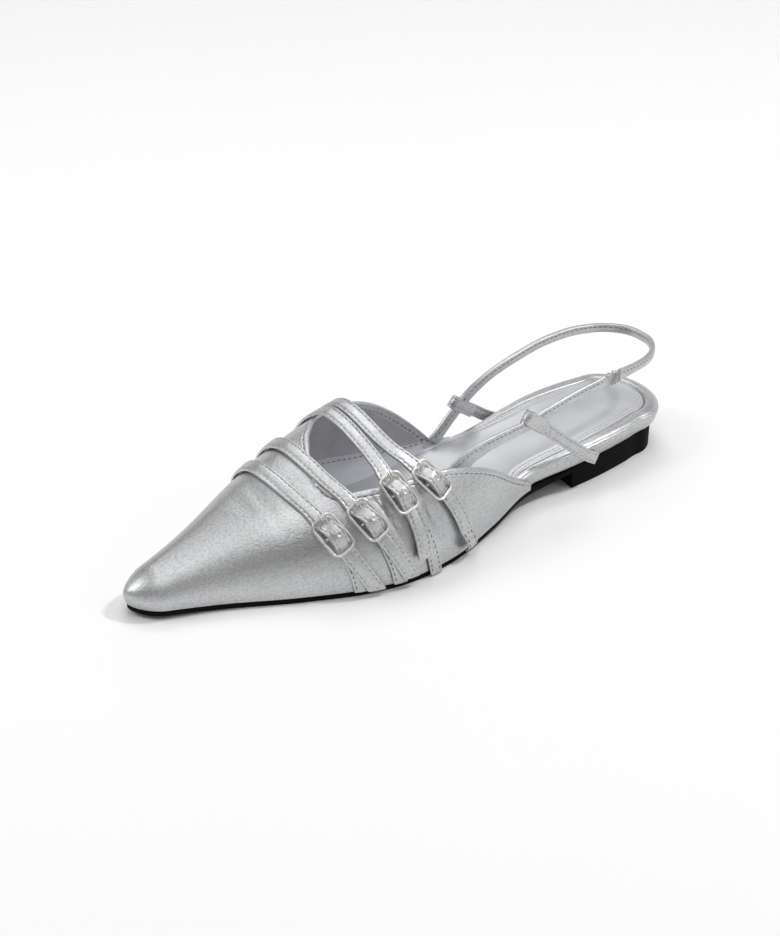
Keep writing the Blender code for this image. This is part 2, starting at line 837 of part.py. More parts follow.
def make_anchor(number, buckled, frame):
    """An anchor strap: up from the lateral hem, under the buckle's bar and turned up in front of it, with a
    slot for the prong's loop."""
    station, angle = sampled(buckled.anchor, STRAP_STEPS_PER_ROW)
    travel = run_length(on_last(station, angle))
    under_bar = BAR_LIFT - BAR_RADIUS - GAP - ANCHOR_THICK - 0.1
    lift = ANCHOR_REST + (under_bar - ANCHOR_REST) * ease(1 - travel / 8.0)
    inner, outer = strap_faces(station, angle, lift, ANCHOR_THICK)
    under = BAR_RADIUS + GAP + 0.1
    turn = np.radians([0, 30, 60])[:, None]
    across = np.array([-1, 0, 1]) * STRAP_WIDTH / 2
    if (inner[0, 2] - inner[0, 0]) @ frame.across < 0:
        across = across[::-1]
    round_bar = under + ANCHOR_THICK
    curl_in = frame.place(round_bar * np.cos(turn), across, -round_bar * np.sin(turn))
    curl_out = frame.place(under * np.cos(turn), across, -under * np.sin(turn))
    inner, outer = np.concatenate([curl_in, inner]), np.concatenate([curl_out, outer])
    anchor = slab(f"anchor_{number}", inner, outer, FOIL_LEATHER)
    half_slot = SLOT_WIDTH / 2
    tool = box_tool(f"anchor_slot_{number}", frame, (-2.1, 4), (-half_slot, half_slot), (-4, 3))
    boolean(anchor, tool, "DIFFERENCE")
    return anchor


def make_buckle(number, frame):
    """A buckle: a round wire bent to a rounded rectangle, with a bar across its middle."""
    half_length = BUCKLE_LENGTH / 2 - WIRE_RADIUS
    half_width = BUCKLE_WIDTH / 2 - WIRE_RADIUS
    toeward = math.copysign(BUCKLE_TOEWARD, frame.across[0])
    path = []
    for quarter in range(4):
        sign_along = 1 if quarter in (0, 3) else -1
        sign_across = 1 if quarter in (0, 1) else -1
        for turn in np.radians(np.linspace(0, 90, 4) + 90 * quarter):
            path.append(
                frame.place(
                    sign_along * (half_length - BUCKLE_CORNER) + BUCKLE_CORNER * np.cos(turn),
                    toeward + sign_across * (half_width - BUCKLE_CORNER) + BUCKLE_CORNER * np.sin(turn),
                    0.0,
                )
            )
    buckle = tube(f"buckle_{number}", np.array(path), WIRE_RADIUS, NICKEL, 8, ring=True)
    reach = toeward + np.array([-half_width, half_width])
    bar = tube(f"buckle_bar_{number}", frame.place(0.0, reach, 0.0), BAR_RADIUS, None, 8)
    boolean(buckle, bar, "UNION")
    return buckle


def make_prong(number, frame):
    """A prong: hooked round the bar, up through the strap and along it to lie on the buckle's end."""
    loop = BAR_RADIUS + GAP + PRONG_RADIUS
    end_bar = BUCKLE_LENGTH / 2 - WIRE_RADIUS
    over_end = WIRE_RADIUS + GAP + PRONG_RADIUS
    turns = np.radians([270, 225, 180, 140])
    hook = [(loop * math.cos(turn), loop * math.sin(turn)) for turn in turns]
    reach = [(-0.3, 2.2), (1.1, 2.95), (4.0, 2.5), (end_bar, over_end), (end_bar + 1.0, over_end - 0.3)]
    along, out = np.array(hook + reach).T
    return tube(f"prong_{number}", frame.place(along, 0.0, out), PRONG_RADIUS, NICKEL, 6)


def band_ways(middle, lean):
    """The ways along a free strap's middle line, out from the foot and up its width."""
    along = unit(np.gradient(middle, axis=0))
    level_out = unit(np.cross(along, np.broadcast_to([0.0, 0.0, 1.0], along.shape)))
    rising = np.cross(level_out, along)
    tilt = np.radians(lean)[:, None]
    out = np.cos(tilt) * level_out + np.sin(tilt) * rising
    return along, out, np.cross(out, along)


def band_frame(rows):
    """The middle line of a free strap, and its ways along, out from the foot and up its width."""
    station, across, up, lean = sampled(rows, BEND_STEPS_PER_ROW)
    middle = in_frame(station, across, up)
    return middle, *band_ways(middle, lean)


def band(name, rows, finish, swell=0.0):
    """A free strap with its face upright or leaning; swell rounds it out between its ends."""
    middle, _, out, wide = band_frame(rows)
    share = np.sin(np.linspace(0, np.pi, len(middle)))[:, None]
    half_thick = SLING_THICK / 2 + swell * share / 2
    half_wide = SLING_WIDTH / 2 + swell * share / 2
    corners = [(1, 1), (1, -1), (-1, -1), (-1, 1)]
    sections = np.stack([middle + a * half_thick * out + b * half_wide * wide for a, b in corners], 1)
    return sweep(name, sections, finish)


def make_slingback():
    """The slingback in its three lengths: lateral strap, gathered elastic, and the strap round the heel."""
    band("sling_lateral", SLING_FRONT, FOIL_LEATHER)
    band("sling_elastic", SLING_ELASTIC, FOIL_LEATHER, ELASTIC_SWELL)
    band("sling_heel", SLING_BACK, FOIL_LEATHER)


def make_keeper(name, sling_rows, loop_row, leg_rows):
    """A keeper: a loop round the slingback, drawn along its leg's slant, on a doubled leg down to the
    outsole."""
    middle, along, out, wide = (
        value[round(loop_row * BEND_STEPS_PER_ROW)] for value in band_frame(sling_rows)
    )
    leg, _, _, _ = band_frame(leg_rows)
    down = leg[0] - middle
    slant = (down @ along) / (down @ wide)
    half_wide = SLING_WIDTH / 2 + KEEPER_CLEAR
    half_thick = SLING_THICK / 2 + KEEPER_CLEAR
    start = middle - (half_wide + KEEPER_THICK / 2) * (wide + slant * along)
    leg = np.concatenate([[start], leg])
    _, leg_out, _ = band_ways(leg, np.zeros(len(leg)))
    corner = 0.9
    path = []
    for quarter in range(4):
        for turn in np.radians(np.linspace(0, 90, 3) + 90 * quarter):
            a = np.sign(np.cos(np.radians(45 + 90 * quarter)))
            b = np.sign(np.sin(np.radians(45 + 90 * quarter)))
            radii = (corner, corner + KEEPER_THICK)
            for_thick = [a * (half_thick - corner) + r * np.cos(turn) for r in radii]
            for_wide = [b * (half_wide - corner) + r * np.sin(turn) for r in (corner, corner + KEEPER_THICK)]
            path.append(list(zip(for_thick, for_wide)))
    half = KEEPER_WIDTH / 2
    sections = []
    for inner, outer in path:
        points = []
        for (thick, high), way in ((inner, 1), (inner, -1), (outer, -1), (outer, 1)):
            points.append(middle + thick * out + high * wide + (slant * high + way * half) * along)
        sections.append(points)
    keeper = sweep(name, np.array(sections), FOIL_LEATHER, ring=True)
    foot = leg_out * np.sign((leg_out @ out).sum())
    corners = [(1, 1), (1, -1), (-1, -1), (-1, 1)]
    leg_sections = np.stack([leg + a * KEEPER_THICK * foot + b * half * along for a, b in corners], 1)
    boolean(keeper, sweep(f"{name}_leg", leg_sections, None), "UNION")
    return keeper


def main():
    """Builds every piece and hangs them all on one empty."""
    for old in list(bpy.data.objects):
        bpy.data.objects.remove(old)
    make_outsole()
    make_heel()
    make_footbed()
    make_insole()
    make_upper()
    for number, buckled in enumerate(BUCKLED_STRAPS, start=1):
        station, angle = sampled(buckled.strap, STRAP_STEPS_PER_ROW)
        frame = buckle_frame(station, angle, buckled.buckle_row)
        make_strap(number, buckled, frame)
        make_anchor(number, buckled, frame)
        make_buckle(number, frame)
        make_prong(number, frame)
    make_slingback()
    make_keeper("keeper_lateral", SLING_FRONT, LATERAL_LOOP_ROW, LATERAL_LEG)
    make_keeper("keeper_medial", SLING_BACK, MEDIAL_LOOP_ROW, MEDIAL_LEG)
    shoe = bpy.data.objects.new("shoe", None)
    bpy.context.scene.collection.objects.link(shoe)
    for obj in bpy.data.objects:
        if obj is not shoe:
            obj.parent = shoe


main()
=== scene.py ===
"""Dresses a left slingback flat: foil leather upper, four buckled instep straps, gathered slingback, stitched
sock, rolled footbed edge and a black sole.

Sizes are millimetres along the shoe's own axes and become metres when a mesh is made. A station runs from the
back of the heel to the toe. An angle on the last runs from the lateral feather edge (0) over the instep ridge
(90) to the medial feather edge (180). +X is the toe, +Y the lateral side, +Z up.
"""

import logging
import math
from collections.abc import Callable
from dataclasses import dataclass
from enum import Enum
from typing import NamedTuple

import bmesh
import bpy
import numpy as np
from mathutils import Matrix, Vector


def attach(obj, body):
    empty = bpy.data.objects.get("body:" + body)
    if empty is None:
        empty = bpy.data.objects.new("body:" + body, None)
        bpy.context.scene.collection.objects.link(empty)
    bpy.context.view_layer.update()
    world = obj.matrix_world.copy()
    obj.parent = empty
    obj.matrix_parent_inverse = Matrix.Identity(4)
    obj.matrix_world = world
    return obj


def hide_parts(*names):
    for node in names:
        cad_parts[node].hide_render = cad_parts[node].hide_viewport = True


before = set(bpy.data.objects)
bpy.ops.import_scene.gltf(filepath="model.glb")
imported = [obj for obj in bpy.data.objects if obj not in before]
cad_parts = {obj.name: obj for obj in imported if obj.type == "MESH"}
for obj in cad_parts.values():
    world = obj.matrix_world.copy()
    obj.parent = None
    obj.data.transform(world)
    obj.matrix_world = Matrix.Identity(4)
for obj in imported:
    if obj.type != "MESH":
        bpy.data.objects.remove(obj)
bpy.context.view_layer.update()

MM = 0.001
WELD = 0.003  # points of a mesh nearer than this, in millimetres, become one
Table = tuple[tuple[float, ...], ...]
LOG = logging.getLogger("slingback")


class Slot(Enum):
    """The record's material slots."""

    FOIL = "foil_leather"
    LINING = "lining_leather"
    RUBBER = "black_rubber"
    NICKEL = "nickel"


class Side(Enum):
    """The two sides of the shoe, as the sign of the way across."""

    LATERAL = 1
    MEDIAL = -1


def cubic(knots: np.ndarray, values: np.ndarray, at: np.ndarray) -> np.ndarray:
    """A cubic through values at knots, with slopes held back so that it never overshoots one.

    Args:
        knots: Rising places of the values.
        values: The values there.
        at: Places to read the curve at.

    Returns:
        The curve's values, in the shape of at.
    """
    knots, values = np.asarray(knots, float), np.asarray(values, float)
    steps = np.diff(values) / np.diff(knots)
    slopes = np.gradient(values, knots)
    before, after = steps[:-1], steps[1:]
    most = 3 * np.minimum(np.abs(before), np.abs(after))
    slopes[1:-1] = np.where(before * after > 0, np.clip(slopes[1:-1], -most, most), 0)
    at = np.clip(np.asarray(at, float), knots[0], knots[-1])
    i = np.clip(np.searchsorted(knots, at, "right") - 1, 0, len(knots) - 2)
    span = knots[i + 1] - knots[i]
    u = (at - knots[i]) / span
    start = (1 + 2 * u) * (1 - u) ** 2 * values[i] + u * (1 - u) ** 2 * span * slopes[i]
    end = u**2 * (3 - 2 * u) * values[i + 1] + u**2 * (u - 1) * span * slopes[i + 1]
    return start + end


def column(table: Table, number: int, at: np.ndarray) -> np.ndarray:
    """One column of a table as a smooth curve over its first column."""
    rows = np.array(table, float)
    return cubic(rows[:, 0], rows[:, number], at)


def by_row(table: Table | np.ndarray, at: np.ndarray) -> list[np.ndarray]:
    """Every column of a table as a smooth curve over its row number."""
    rows = np.array(table, float)
    return [cubic(np.arange(len(rows)), values, at) for values in rows.T]


def row_steps(table: Table, steps: int) -> np.ndarray:
    """Row numbers of a table with steps between the rows."""
    return np.linspace(0, len(table) - 1, (len(table) - 1) * steps + 1)


def ease(share: np.ndarray) -> np.ndarray:
    """0 to 1 with level ends."""
    share = np.clip(share, 0, 1)
    return share**2 * (3 - 2 * share)


def unit(vectors: np.ndarray) -> np.ndarray:
    """Vectors at length 1."""
    return vectors / np.maximum(np.linalg.norm(vectors, axis=-1, keepdims=True), 1e-9)


def rounded_end(distance: np.ndarray, radius: np.ndarray) -> np.ndarray:
    """The share of full width at a distance from a round end of that radius."""
    share = np.clip(1 - distance / radius, 0, 1)
    return np.sqrt(1 - share**2)


def travel(path: np.ndarray) -> np.ndarray:
    """Distance along a line of points."""
    return np.concatenate([[0], np.cumsum(np.linalg.norm(np.diff(path, axis=0), axis=1))])


def linear(colour: str) -> tuple[float, float, float, float]:
    """An sRGB hex colour as linear light: c / 12.92 in the dark, ((c + 0.055) / 1.055) ** 2.4 above.

    Args:
        colour: Six hex digits.

    Returns:
        Red, green, blue and a full alpha.
    """
    parts = np.array([int(colour[i : i + 2], 16) for i in (0, 2, 4)]) / 255
    light = np.where(parts <= 0.04045, parts / 12.92, ((parts + 0.055) / 1.055) ** 2.4)
    return (*(float(value) for value in light), 1.0)


def add_node(tree: bpy.types.NodeTree, kind: str, inputs: dict, **settings: object) -> bpy.types.Node:
    """Adds a node with its settings and links.

    Args:
        tree: The node tree it goes into.
        kind: The node's type.
        inputs: A value, or a socket to link from, for each of its inputs by name or number.
        settings: The node's own properties.

    Returns:
        The new node.
    """
    node = tree.nodes.new(kind)
    for key, value in settings.items():
        setattr(node, key, value)
    for key, value in inputs.items():
        if isinstance(value, bpy.types.NodeSocket):
            tree.links.new(value, node.inputs[key])
        else:
            node.inputs[key].default_value = value
    return node


def per_metre(size: float) -> float:
    """The scale of a pattern whose cells have a size in millimetres, on coordinates in metres."""
    return 1 / (size * MM)


class Finish:
    """A finish of the shoe: a Principled shader whose inputs come from the finish's own pattern, which is
    laid out on Object coordinates."""

    name: str

    def skin(self, tree: bpy.types.NodeTree, place: bpy.types.NodeSocket) -> dict:
        """The shader's inputs.

        Args:
            tree: The material's node tree.
            place: The Object coordinates.

        Returns:
            A value, or a socket to link from, for each input by name.
        """
        raise NotImplementedError

    def material(self) -> bpy.types.Material:
        """Makes the material."""
        material = bpy.data.materials.new(self.name)
        material.use_nodes = True
        tree = material.node_tree
        tree.nodes.clear()
        place = add_node(tree, "ShaderNodeTexCoord", {}).outputs["Object"]
        shader = add_node(tree, "ShaderNodeBsdfPrincipled", self.skin(tree, place))
        add_node(tree, "ShaderNodeOutputMaterial", {"Surface": shader.outputs["BSDF"]})
        return material


@dataclass(frozen=True)
class FoilLeather(Finish):
    """Metallised foil pressed onto fine sheepskin: a soft metal gloss broken by pebbled grain and light
    crinkles, with painted shade that darkens the grain's valleys."""

    name: str = "metallised_foil_sheepskin"
    colour: str = "CBCCCD"
    # painted shade: the darker colour that the grain's valleys are mixed towards
    valley_shade: str = "A0A1A3"
    metallic: float = 0.92
    smoothest: float = 0.36
    roughest: float = 0.47
    grain: float = 0.7  # pebbles of about 0.4 mm are drawn wider, so that they show
    crinkle: float = 2.8
    cloud: float = 22.0
    grain_depth: float = 0.1
    crinkle_depth: float = 0.13
    drawn: float = 0.45  # scale along the shoe over the scale across it, so that the grain lies lengthwise

    def skin(self, tree: bpy.types.NodeTree, place: bpy.types.NodeSocket) -> dict:
        """Pebbles between valleys darkened with painted shade, crinkles under them, and a slow cloud in the
        gloss.

        Args:
            tree: The material's node tree.
            place: The Object coordinates.

        Returns:
            The shader's inputs.
        """
        lengthwise = {"Vector": place, "Scale": (self.drawn, 1.0, 1.0)}
        place = add_node(tree, "ShaderNodeMapping", lengthwise).outputs["Vector"]
        pebble = add_node(
            tree,
            "ShaderNodeTexVoronoi",
            {"Vector": place, "Scale": per_metre(self.grain), "Smoothness": 0.6, "Randomness": 0.9},
            feature="SMOOTH_F1",
        ).outputs["Distance"]
        folds = {"Scale": per_metre(self.crinkle), "Detail": 3.0, "Roughness": 0.62, "Distortion": 0.4}
        crinkle = add_node(tree, "ShaderNodeTexNoise", {"Vector": place, **folds}).outputs["Fac"]
        slow = {"Vector": place, "Scale": per_metre(self.cloud), "Detail": 2.0}
        cloud = add_node(tree, "ShaderNodeTexNoise", slow).outputs["Fac"]
        # share of painted shade in the grain's valleys, up to half
        deep = {"Value": pebble, "From Min": 0.25, "From Max": 0.75, "To Min": 0.0, "To Max": 0.5}
        valley_shade = add_node(tree, "ShaderNodeMapRange", deep).outputs["Result"]
        tones = {0: valley_shade, 6: linear(self.colour), 7: linear(self.valley_shade)}
        gloss = {"From Min": 0.3, "From Max": 0.7, "To Min": self.smoothest, "To Max": self.roughest}
        dull = add_node(tree, "ShaderNodeMapRange", {"Value": cloud, **gloss})
        broad = {"Height": crinkle, "Strength": 0.55, "Distance": self.crinkle_depth * MM}
        under = add_node(tree, "ShaderNodeBump", broad).outputs["Normal"]
        fine = {"Height": pebble, "Strength": 0.6, "Distance": self.grain_depth * MM, "Normal": under}
        return {
            "Base Color": add_node(tree, "ShaderNodeMix", tones, data_type="RGBA").outputs[2],
            "Metallic": self.metallic,
            "Roughness": dull.outputs["Result"],
            "Normal": add_node(tree, "ShaderNodeBump", fine, invert=True).outputs["Normal"],
        }


@dataclass(frozen=True)
class SoftLeather(Finish):
    """Smooth or napped leather for linings: an even tone with a faint cloud, fine pores and little gloss."""

    name: str
    colour: str
    shade: str
    roughness: float
    metallic: float = 0.0
    cloud: float = 14.0
    pore: float = 0.7  # pores of about 0.2 mm are drawn wider, so that they show
    depth: float = 0.03
    gloss: float = 0.4

    def skin(self, tree: bpy.types.NodeTree, place: bpy.types.NodeSocket) -> dict:
        """Two tones in a cloud, and pores.

        Args:
            tree: The material's node tree.
            place: The Object coordinates.

        Returns:
            The shader's inputs.
        """
        slow = {"Vector": place, "Scale": per_metre(self.cloud), "Detail": 4.0, "Roughness": 0.6}
        cloud = add_node(tree, "ShaderNodeTexNoise", slow).outputs["Fac"]
        fine = {"Vector": place, "Scale": per_metre(self.pore), "Detail": 2.0}
        pores = add_node(tree, "ShaderNodeTexNoise", fine).outputs["Fac"]
        share = add_node(tree, "ShaderNodeMapRange", {"Value": cloud, "From Min": 0.35, "From Max": 0.7})
        tones = {0: share.outputs["Result"], 6: linear(self.colour), 7: linear(self.shade)}
        relief = {"Height": pores, "Strength": 0.5, "Distance": self.depth * MM}
        return {
            "Base Color": add_node(tree, "ShaderNodeMix", tones, data_type="RGBA").outputs[2],
            "Metallic": self.metallic,
            "Roughness": self.roughness,
            "Specular IOR Level": self.gloss,
            "Normal": add_node(tree, "ShaderNodeBump", relief).outputs["Normal"],
        }


@dataclass(frozen=True)
class BlackRubber(Finish):
    """Moulded black rubber: nearly matt, with a sandblasted skin and a slightly greyer bloom."""

    name: str = "moulded_black_rubber"
    colour: str = "0B0B0C"
    bloom: str = "111112"
    roughness: float = 0.7
    gloss: float = 0.07
    cloud: float = 9.0
    grit: float = 0.6  # the mould's 0.1 mm grit is drawn coarser, so that it shows
    depth: float = 0.04

    def skin(self, tree: bpy.types.NodeTree, place: bpy.types.NodeSocket) -> dict:
        """A bloom in a cloud, and grit.

        Args:
            tree: The material's node tree.
            place: The Object coordinates.

        Returns:
            The shader's inputs.
        """
        slow = {"Vector": place, "Scale": per_metre(self.cloud), "Detail": 4.0}
        cloud = add_node(tree, "ShaderNodeTexNoise", slow).outputs["Fac"]
        fine = {"Vector": place, "Scale": per_metre(self.grit)}
        grit = add_node(tree, "ShaderNodeTexNoise", fine).outputs["Fac"]
        tones = {0: cloud, 6: linear(self.colour), 7: linear(self.bloom)}
        relief = {"Height": grit, "Strength": 0.4, "Distance": self.depth * MM}
        return {
            "Base Color": add_node(tree, "ShaderNodeMix", tones, data_type="RGBA").outputs[2],
            "Roughness": self.roughness,
            "Specular IOR Level": self.gloss,
            "Normal": add_node(tree, "ShaderNodeBump", relief).outputs["Normal"],
        }


@dataclass(frozen=True)
class PolishedNickel(Finish):
    """Nickel-plated steel wire, tumbled bright: a warm white metal with a faintly uneven polish."""

    name: str = "tumbled_nickel_plate"
    colour: str = "E0DED8"
    smoothest: float = 0.26
    roughest: float = 0.34
    polish: float = 4.0

    def skin(self, tree: bpy.types.NodeTree, place: bpy.types.NodeSocket) -> dict:
        """One tone, with a cloud in the gloss.

        Args:
            tree: The material's node tree.
            place: The Object coordinates.

        Returns:
            The shader's inputs.
        """
        slow = {"Vector": place, "Scale": per_metre(self.polish), "Detail": 2.0}
        polish = add_node(tree, "ShaderNodeTexNoise", slow).outputs["Fac"]
        gloss = {"From Min": 0.3, "From Max": 0.7, "To Min": self.smoothest, "To Max": self.roughest}
        dull = add_node(tree, "ShaderNodeMapRange", {"Value": polish, **gloss})
        return {"Base Color": linear(self.colour), "Metallic": 1.0, "Roughness": dull.outputs["Result"]}


@dataclass(frozen=True)
class TwistedThread(Finish):
    """Bonded polyester thread: matt, with the light and shade on its two twisted plies painted as slanting
    light and dark bands.
    """

    name: str
    colour: str
    shade: str
    twist: float = 11.0  # plies of about 0.55 mm are drawn coarser, so that they show
    roughness: float = 0.62

    def skin(self, tree: bpy.types.NodeTree, place: bpy.types.NodeSocket) -> dict:
        """Two tones in slanting bands, the painted light and shade of the twisted plies.

        Args:
            tree: The material's node tree.
            place: The Object coordinates.

        Returns:
            The shader's inputs.
        """
        wave = {"Vector": place, "Scale": per_metre(self.twist), "Distortion": 1.5}
        ply = add_node(tree, "ShaderNodeTexWave", wave, bands_direction="DIAGONAL").outputs["Fac"]
        tones = {0: ply, 6: linear(self.colour), 7: linear(self.shade)}
        tone = add_node(tree, "ShaderNodeMix", tones, data_type="RGBA").outputs[2]
        return {"Base Color": tone, "Roughness": self.roughness}


@dataclass(frozen=True)
class WhiteCard(Finish):
    """Matt white card: nearly even, without gloss."""

    name: str = "matt_white_card"
    colour: str = "FAFAFA"
    shade: str = "F8F8F8"
    cloud: float = 400.0
    roughness: float = 0.9

    def skin(self, tree: bpy.types.NodeTree, place: bpy.types.NodeSocket) -> dict:
        """Two tones in a wide cloud.

        Args:
            tree: The material's node tree.
            place: The Object coordinates.

        Returns:
            The shader's inputs.
        """
        slow = {"Vector": place, "Scale": per_metre(self.cloud)}
        cloud = add_node(tree, "ShaderNodeTexNoise", slow).outputs["Fac"]
        tones = {0: cloud, 6: linear(self.colour), 7: linear(self.shade)}
        tone = add_node(tree, "ShaderNodeMix", tones, data_type="RGBA").outputs[2]
        return {"Base Color": tone, "Roughness": self.roughness}


class Finishes:
    """The shoe's materials, each made once."""

    def __init__(self) -> None:
        """Makes every finish."""
        self.foil = FoilLeather().material()
        self.sock = SoftLeather("smooth_sock_leather", "D0D1D5", "C7C8CD", 0.42, 0.5).material()
        self.margin = SoftLeather("matt_margin_leather", "C8C9CE", "BEBFC4", 0.75).material()
        self.lining = SoftLeather("grey_suede_lining", "BEBEC3", "A9A9AE", 0.6).material()
        self.rubber = BlackRubber().material()
        self.nickel = PolishedNickel().material()
        # this grey is darker than the silver-grey thread itself: painted shade of the stitch holes and
        # grooves the stitches sit in
        self.shade_grey_thread = TwistedThread("grey_thread_painted_shade", "6F6F72", "57575A").material()
        self.pewter_thread = TwistedThread("pewter_bonded_thread", "A4A4A8", "8A8A8E").material()
        self.light_thread = TwistedThread("silver_bonded_thread", "B6B6BA", "9A9A9E").material()


class Form:
    """A mesh in the making, as arrays of points in millimetres and of quads."""

    def __init__(self) -> None:
        """Starts with nothing."""
        self.points: list[np.ndarray] = []
        self.quads: list[np.ndarray] = []
        self.count = 0

    @staticmethod
    def corners(rows: int, columns: int, closed: bool) -> np.ndarray:
        """The four corners of each quad over a grid whose last column may join its first.

        Args:
            rows: Rows of points.
            columns: Columns of points.
            closed: Joins the last column to the first.

        Returns:
            Point numbers, rows by columns of quads by four.
        """
        i, j = np.meshgrid(np.arange(rows - 1), np.arange(columns if closed else columns - 1), indexing="ij")
        here, beside = i * columns + j, i * columns + (j + 1) % columns
        return np.stack([here, beside, beside + columns, here + columns], -1)

    def add(self, points: np.ndarray, quads: np.ndarray) -> "Form":
        """Adds points and the quads over them.

        Args:
            points: Points in any grid.
            quads: Numbers of each quad's points.

        Returns:
            The form itself.
        """
        self.points.append(points.reshape(-1, 3))
        self.quads.append(quads.reshape(-1, 4) + self.count)
        self.count += len(self.points[-1])
        return self

    def grid(self, points: np.ndarray, closed: bool = False, keep: np.ndarray | None = None) -> "Form":
        """Adds quads over rows by columns of points.

        Args:
            points: Points, rows by columns.
            closed: Joins the last column to the first.
            keep: Marks the quads that are made, rows by columns of quads.

        Returns:
            The form itself.
        """
        quads = self.corners(*points.shape[:2], closed)
        return self.add(points, quads if keep is None else quads[keep])

    def copies(self, points: np.ndarray) -> "Form":
        """Adds many grids of one size that close on themselves.

        Args:
            points: Points, copies by rows by columns.

        Returns:
            The form itself.
        """
        number, rows, columns = points.shape[:3]
        starts = np.arange(number)[:, None, None, None] * rows * columns
        return self.add(points, starts + self.corners(rows, columns, True))

    def rod(self, sections: np.ndarray, rise: float = 0.25) -> "Form":
        """Adds closed sections with a rounded cap at both ends: a smaller section, then its middle, each a
        little further out along the run.

        Args:
            sections: Sections by points.
            rise: How far the caps stand out.

        Returns:
            The form itself.
        """
        middle = sections.mean(1, keepdims=True)
        ends = []
        for end, inside in ((0, 1), (-1, -2)):
            out = unit(middle[end] - middle[inside]) * rise
            smaller = middle[end] + (sections[end] - middle[end]) * 0.9 + out * 0.8
            ends.append([middle[end] + out + 0 * sections[end], smaller])
        return self.grid(np.concatenate([ends[0], sections, ends[1][::-1]]), closed=True)

    def build(
        self,
        name: str,
        material: bpy.types.Material,
        slot: Slot,
        stands_for: tuple[str, ...] = (),
        sharp: float = 50.0,
    ) -> bpy.types.Object:
        """Makes the piece: welds its seams and poles, turns its faces out and lets it ride on the shoe.

        Args:
            name: The piece's name.
            material: Its finish.
            slot: The record's slot for its finish; not used.
            stands_for: CAD nodes that it replaces.
            sharp: Edges that bend more than this many degrees stay sharp.

        Returns:
            The piece.
        """
        points, quads = np.concatenate(self.points) * MM, np.concatenate(self.quads)
        mesh = bpy.data.meshes.new(name)
        mesh.vertices.add(len(points))
        mesh.vertices.foreach_set("co", points.ravel())
        mesh.loops.add(quads.size)
        mesh.loops.foreach_set("vertex_index", quads.ravel().astype(np.int32))
        mesh.polygons.add(len(quads))
        mesh.polygons.foreach_set("loop_start", np.arange(0, quads.size, 4, dtype=np.int32))
        mesh.update(calc_edges=True)
        mesh.validate()
        welded = bmesh.new()
        welded.from_mesh(mesh)
        bmesh.ops.remove_doubles(welded, verts=welded.verts, dist=WELD * MM)
        bmesh.ops.recalc_face_normals(welded, faces=welded.faces)
        welded.to_mesh(mesh)
        welded.free()
        mesh.shade_smooth()
        mesh.set_sharp_from_angle(angle=math.radians(sharp))
        mesh.materials.append(material)
        piece = bpy.data.objects.new(name, mesh)
        bpy.context.scene.collection.objects.link(piece)
        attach(piece, "root")
        if stands_for:
            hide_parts(*stands_for)
        LOG.info("%s: %d faces", name, len(mesh.polygons))
        return piece


def carried(
    path: np.ndarray, out: np.ndarray, heights: np.ndarray, side: np.ndarray, places: np.ndarray
) -> np.ndarray:
    """A section carried along a path: each point of the path, plus heights along one way and places along
    another.

    Args:
        path: Points of the path.
        out: The way of the heights at each of them.
        heights: The section's heights, one set or one for each point of the path.
        side: The way of the places at each point.
        places: The section's places to the side, likewise.

    Returns:
        Sections by points.
    """
    return path[:, None] + heights[..., None] * out[:, None] + places[..., None] * side[:, None]


def round_bar(
    path: np.ndarray, radius: np.ndarray, up: np.ndarray, sides: int, ring: bool = False
) -> np.ndarray:
    """Circles round a path that lies near one plane.

    Args:
        path: Points of the path.
        radius: The bar's radius, one or one for each point.
        up: The plane's normal.
        sides: Points of a circle.
        ring: The path closes on itself.

    Returns:
        Sections by points.
    """
    ends = np.roll(path, -1, 0) - np.roll(path, 1, 0) if ring else np.gradient(path, axis=0)
    side = unit(np.cross(unit(ends), up))
    over = unit(np.cross(side, unit(ends)))
    turn = np.linspace(0, 2 * np.pi, sides, endpoint=False)
    wide = np.reshape(np.asarray(radius, float), (-1, 1))
    return carried(path, over, wide * np.sin(turn), side, wide * np.cos(turn))


def rolled_edge(half: float, thick: float, roll: float, points: int) -> np.ndarray:
    """The left edge of a band's section, a quarter circle from its side up to its top face.

    Args:
        half: Half the band's width.
        thick: Its thickness.
        roll: The quarter circle's radius.
        points: Points on it.

    Returns:
        Points, as the place across and the height of each.
    """
    turn = np.radians(np.linspace(180, 90, points))
    return np.stack([-half + roll + roll * np.cos(turn), thick - roll + roll * np.sin(turn)], -1)


def both_halves(left: np.ndarray) -> np.ndarray:
    """The left half of a section and its mirror image, which share the middle point."""
    return np.concatenate([left, left[-2::-1] * [-1, 1]])


def flat_back(half: float, edge: float, bevel: float, rise: float) -> np.ndarray:
    """The underside of a band's section from right to left, with bevelled edges.

    Args:
        half: Half the band's width.
        edge: How far the bevels start in from the sides.
        bevel: How far in they end.
        rise: How high they start.

    Returns:
        Points, as the place across and the height of each.
    """
    right = np.array([(half - edge, rise), (half - bevel, 0.0)])
    return np.concatenate([right, right[::-1] * [-1, 1]])


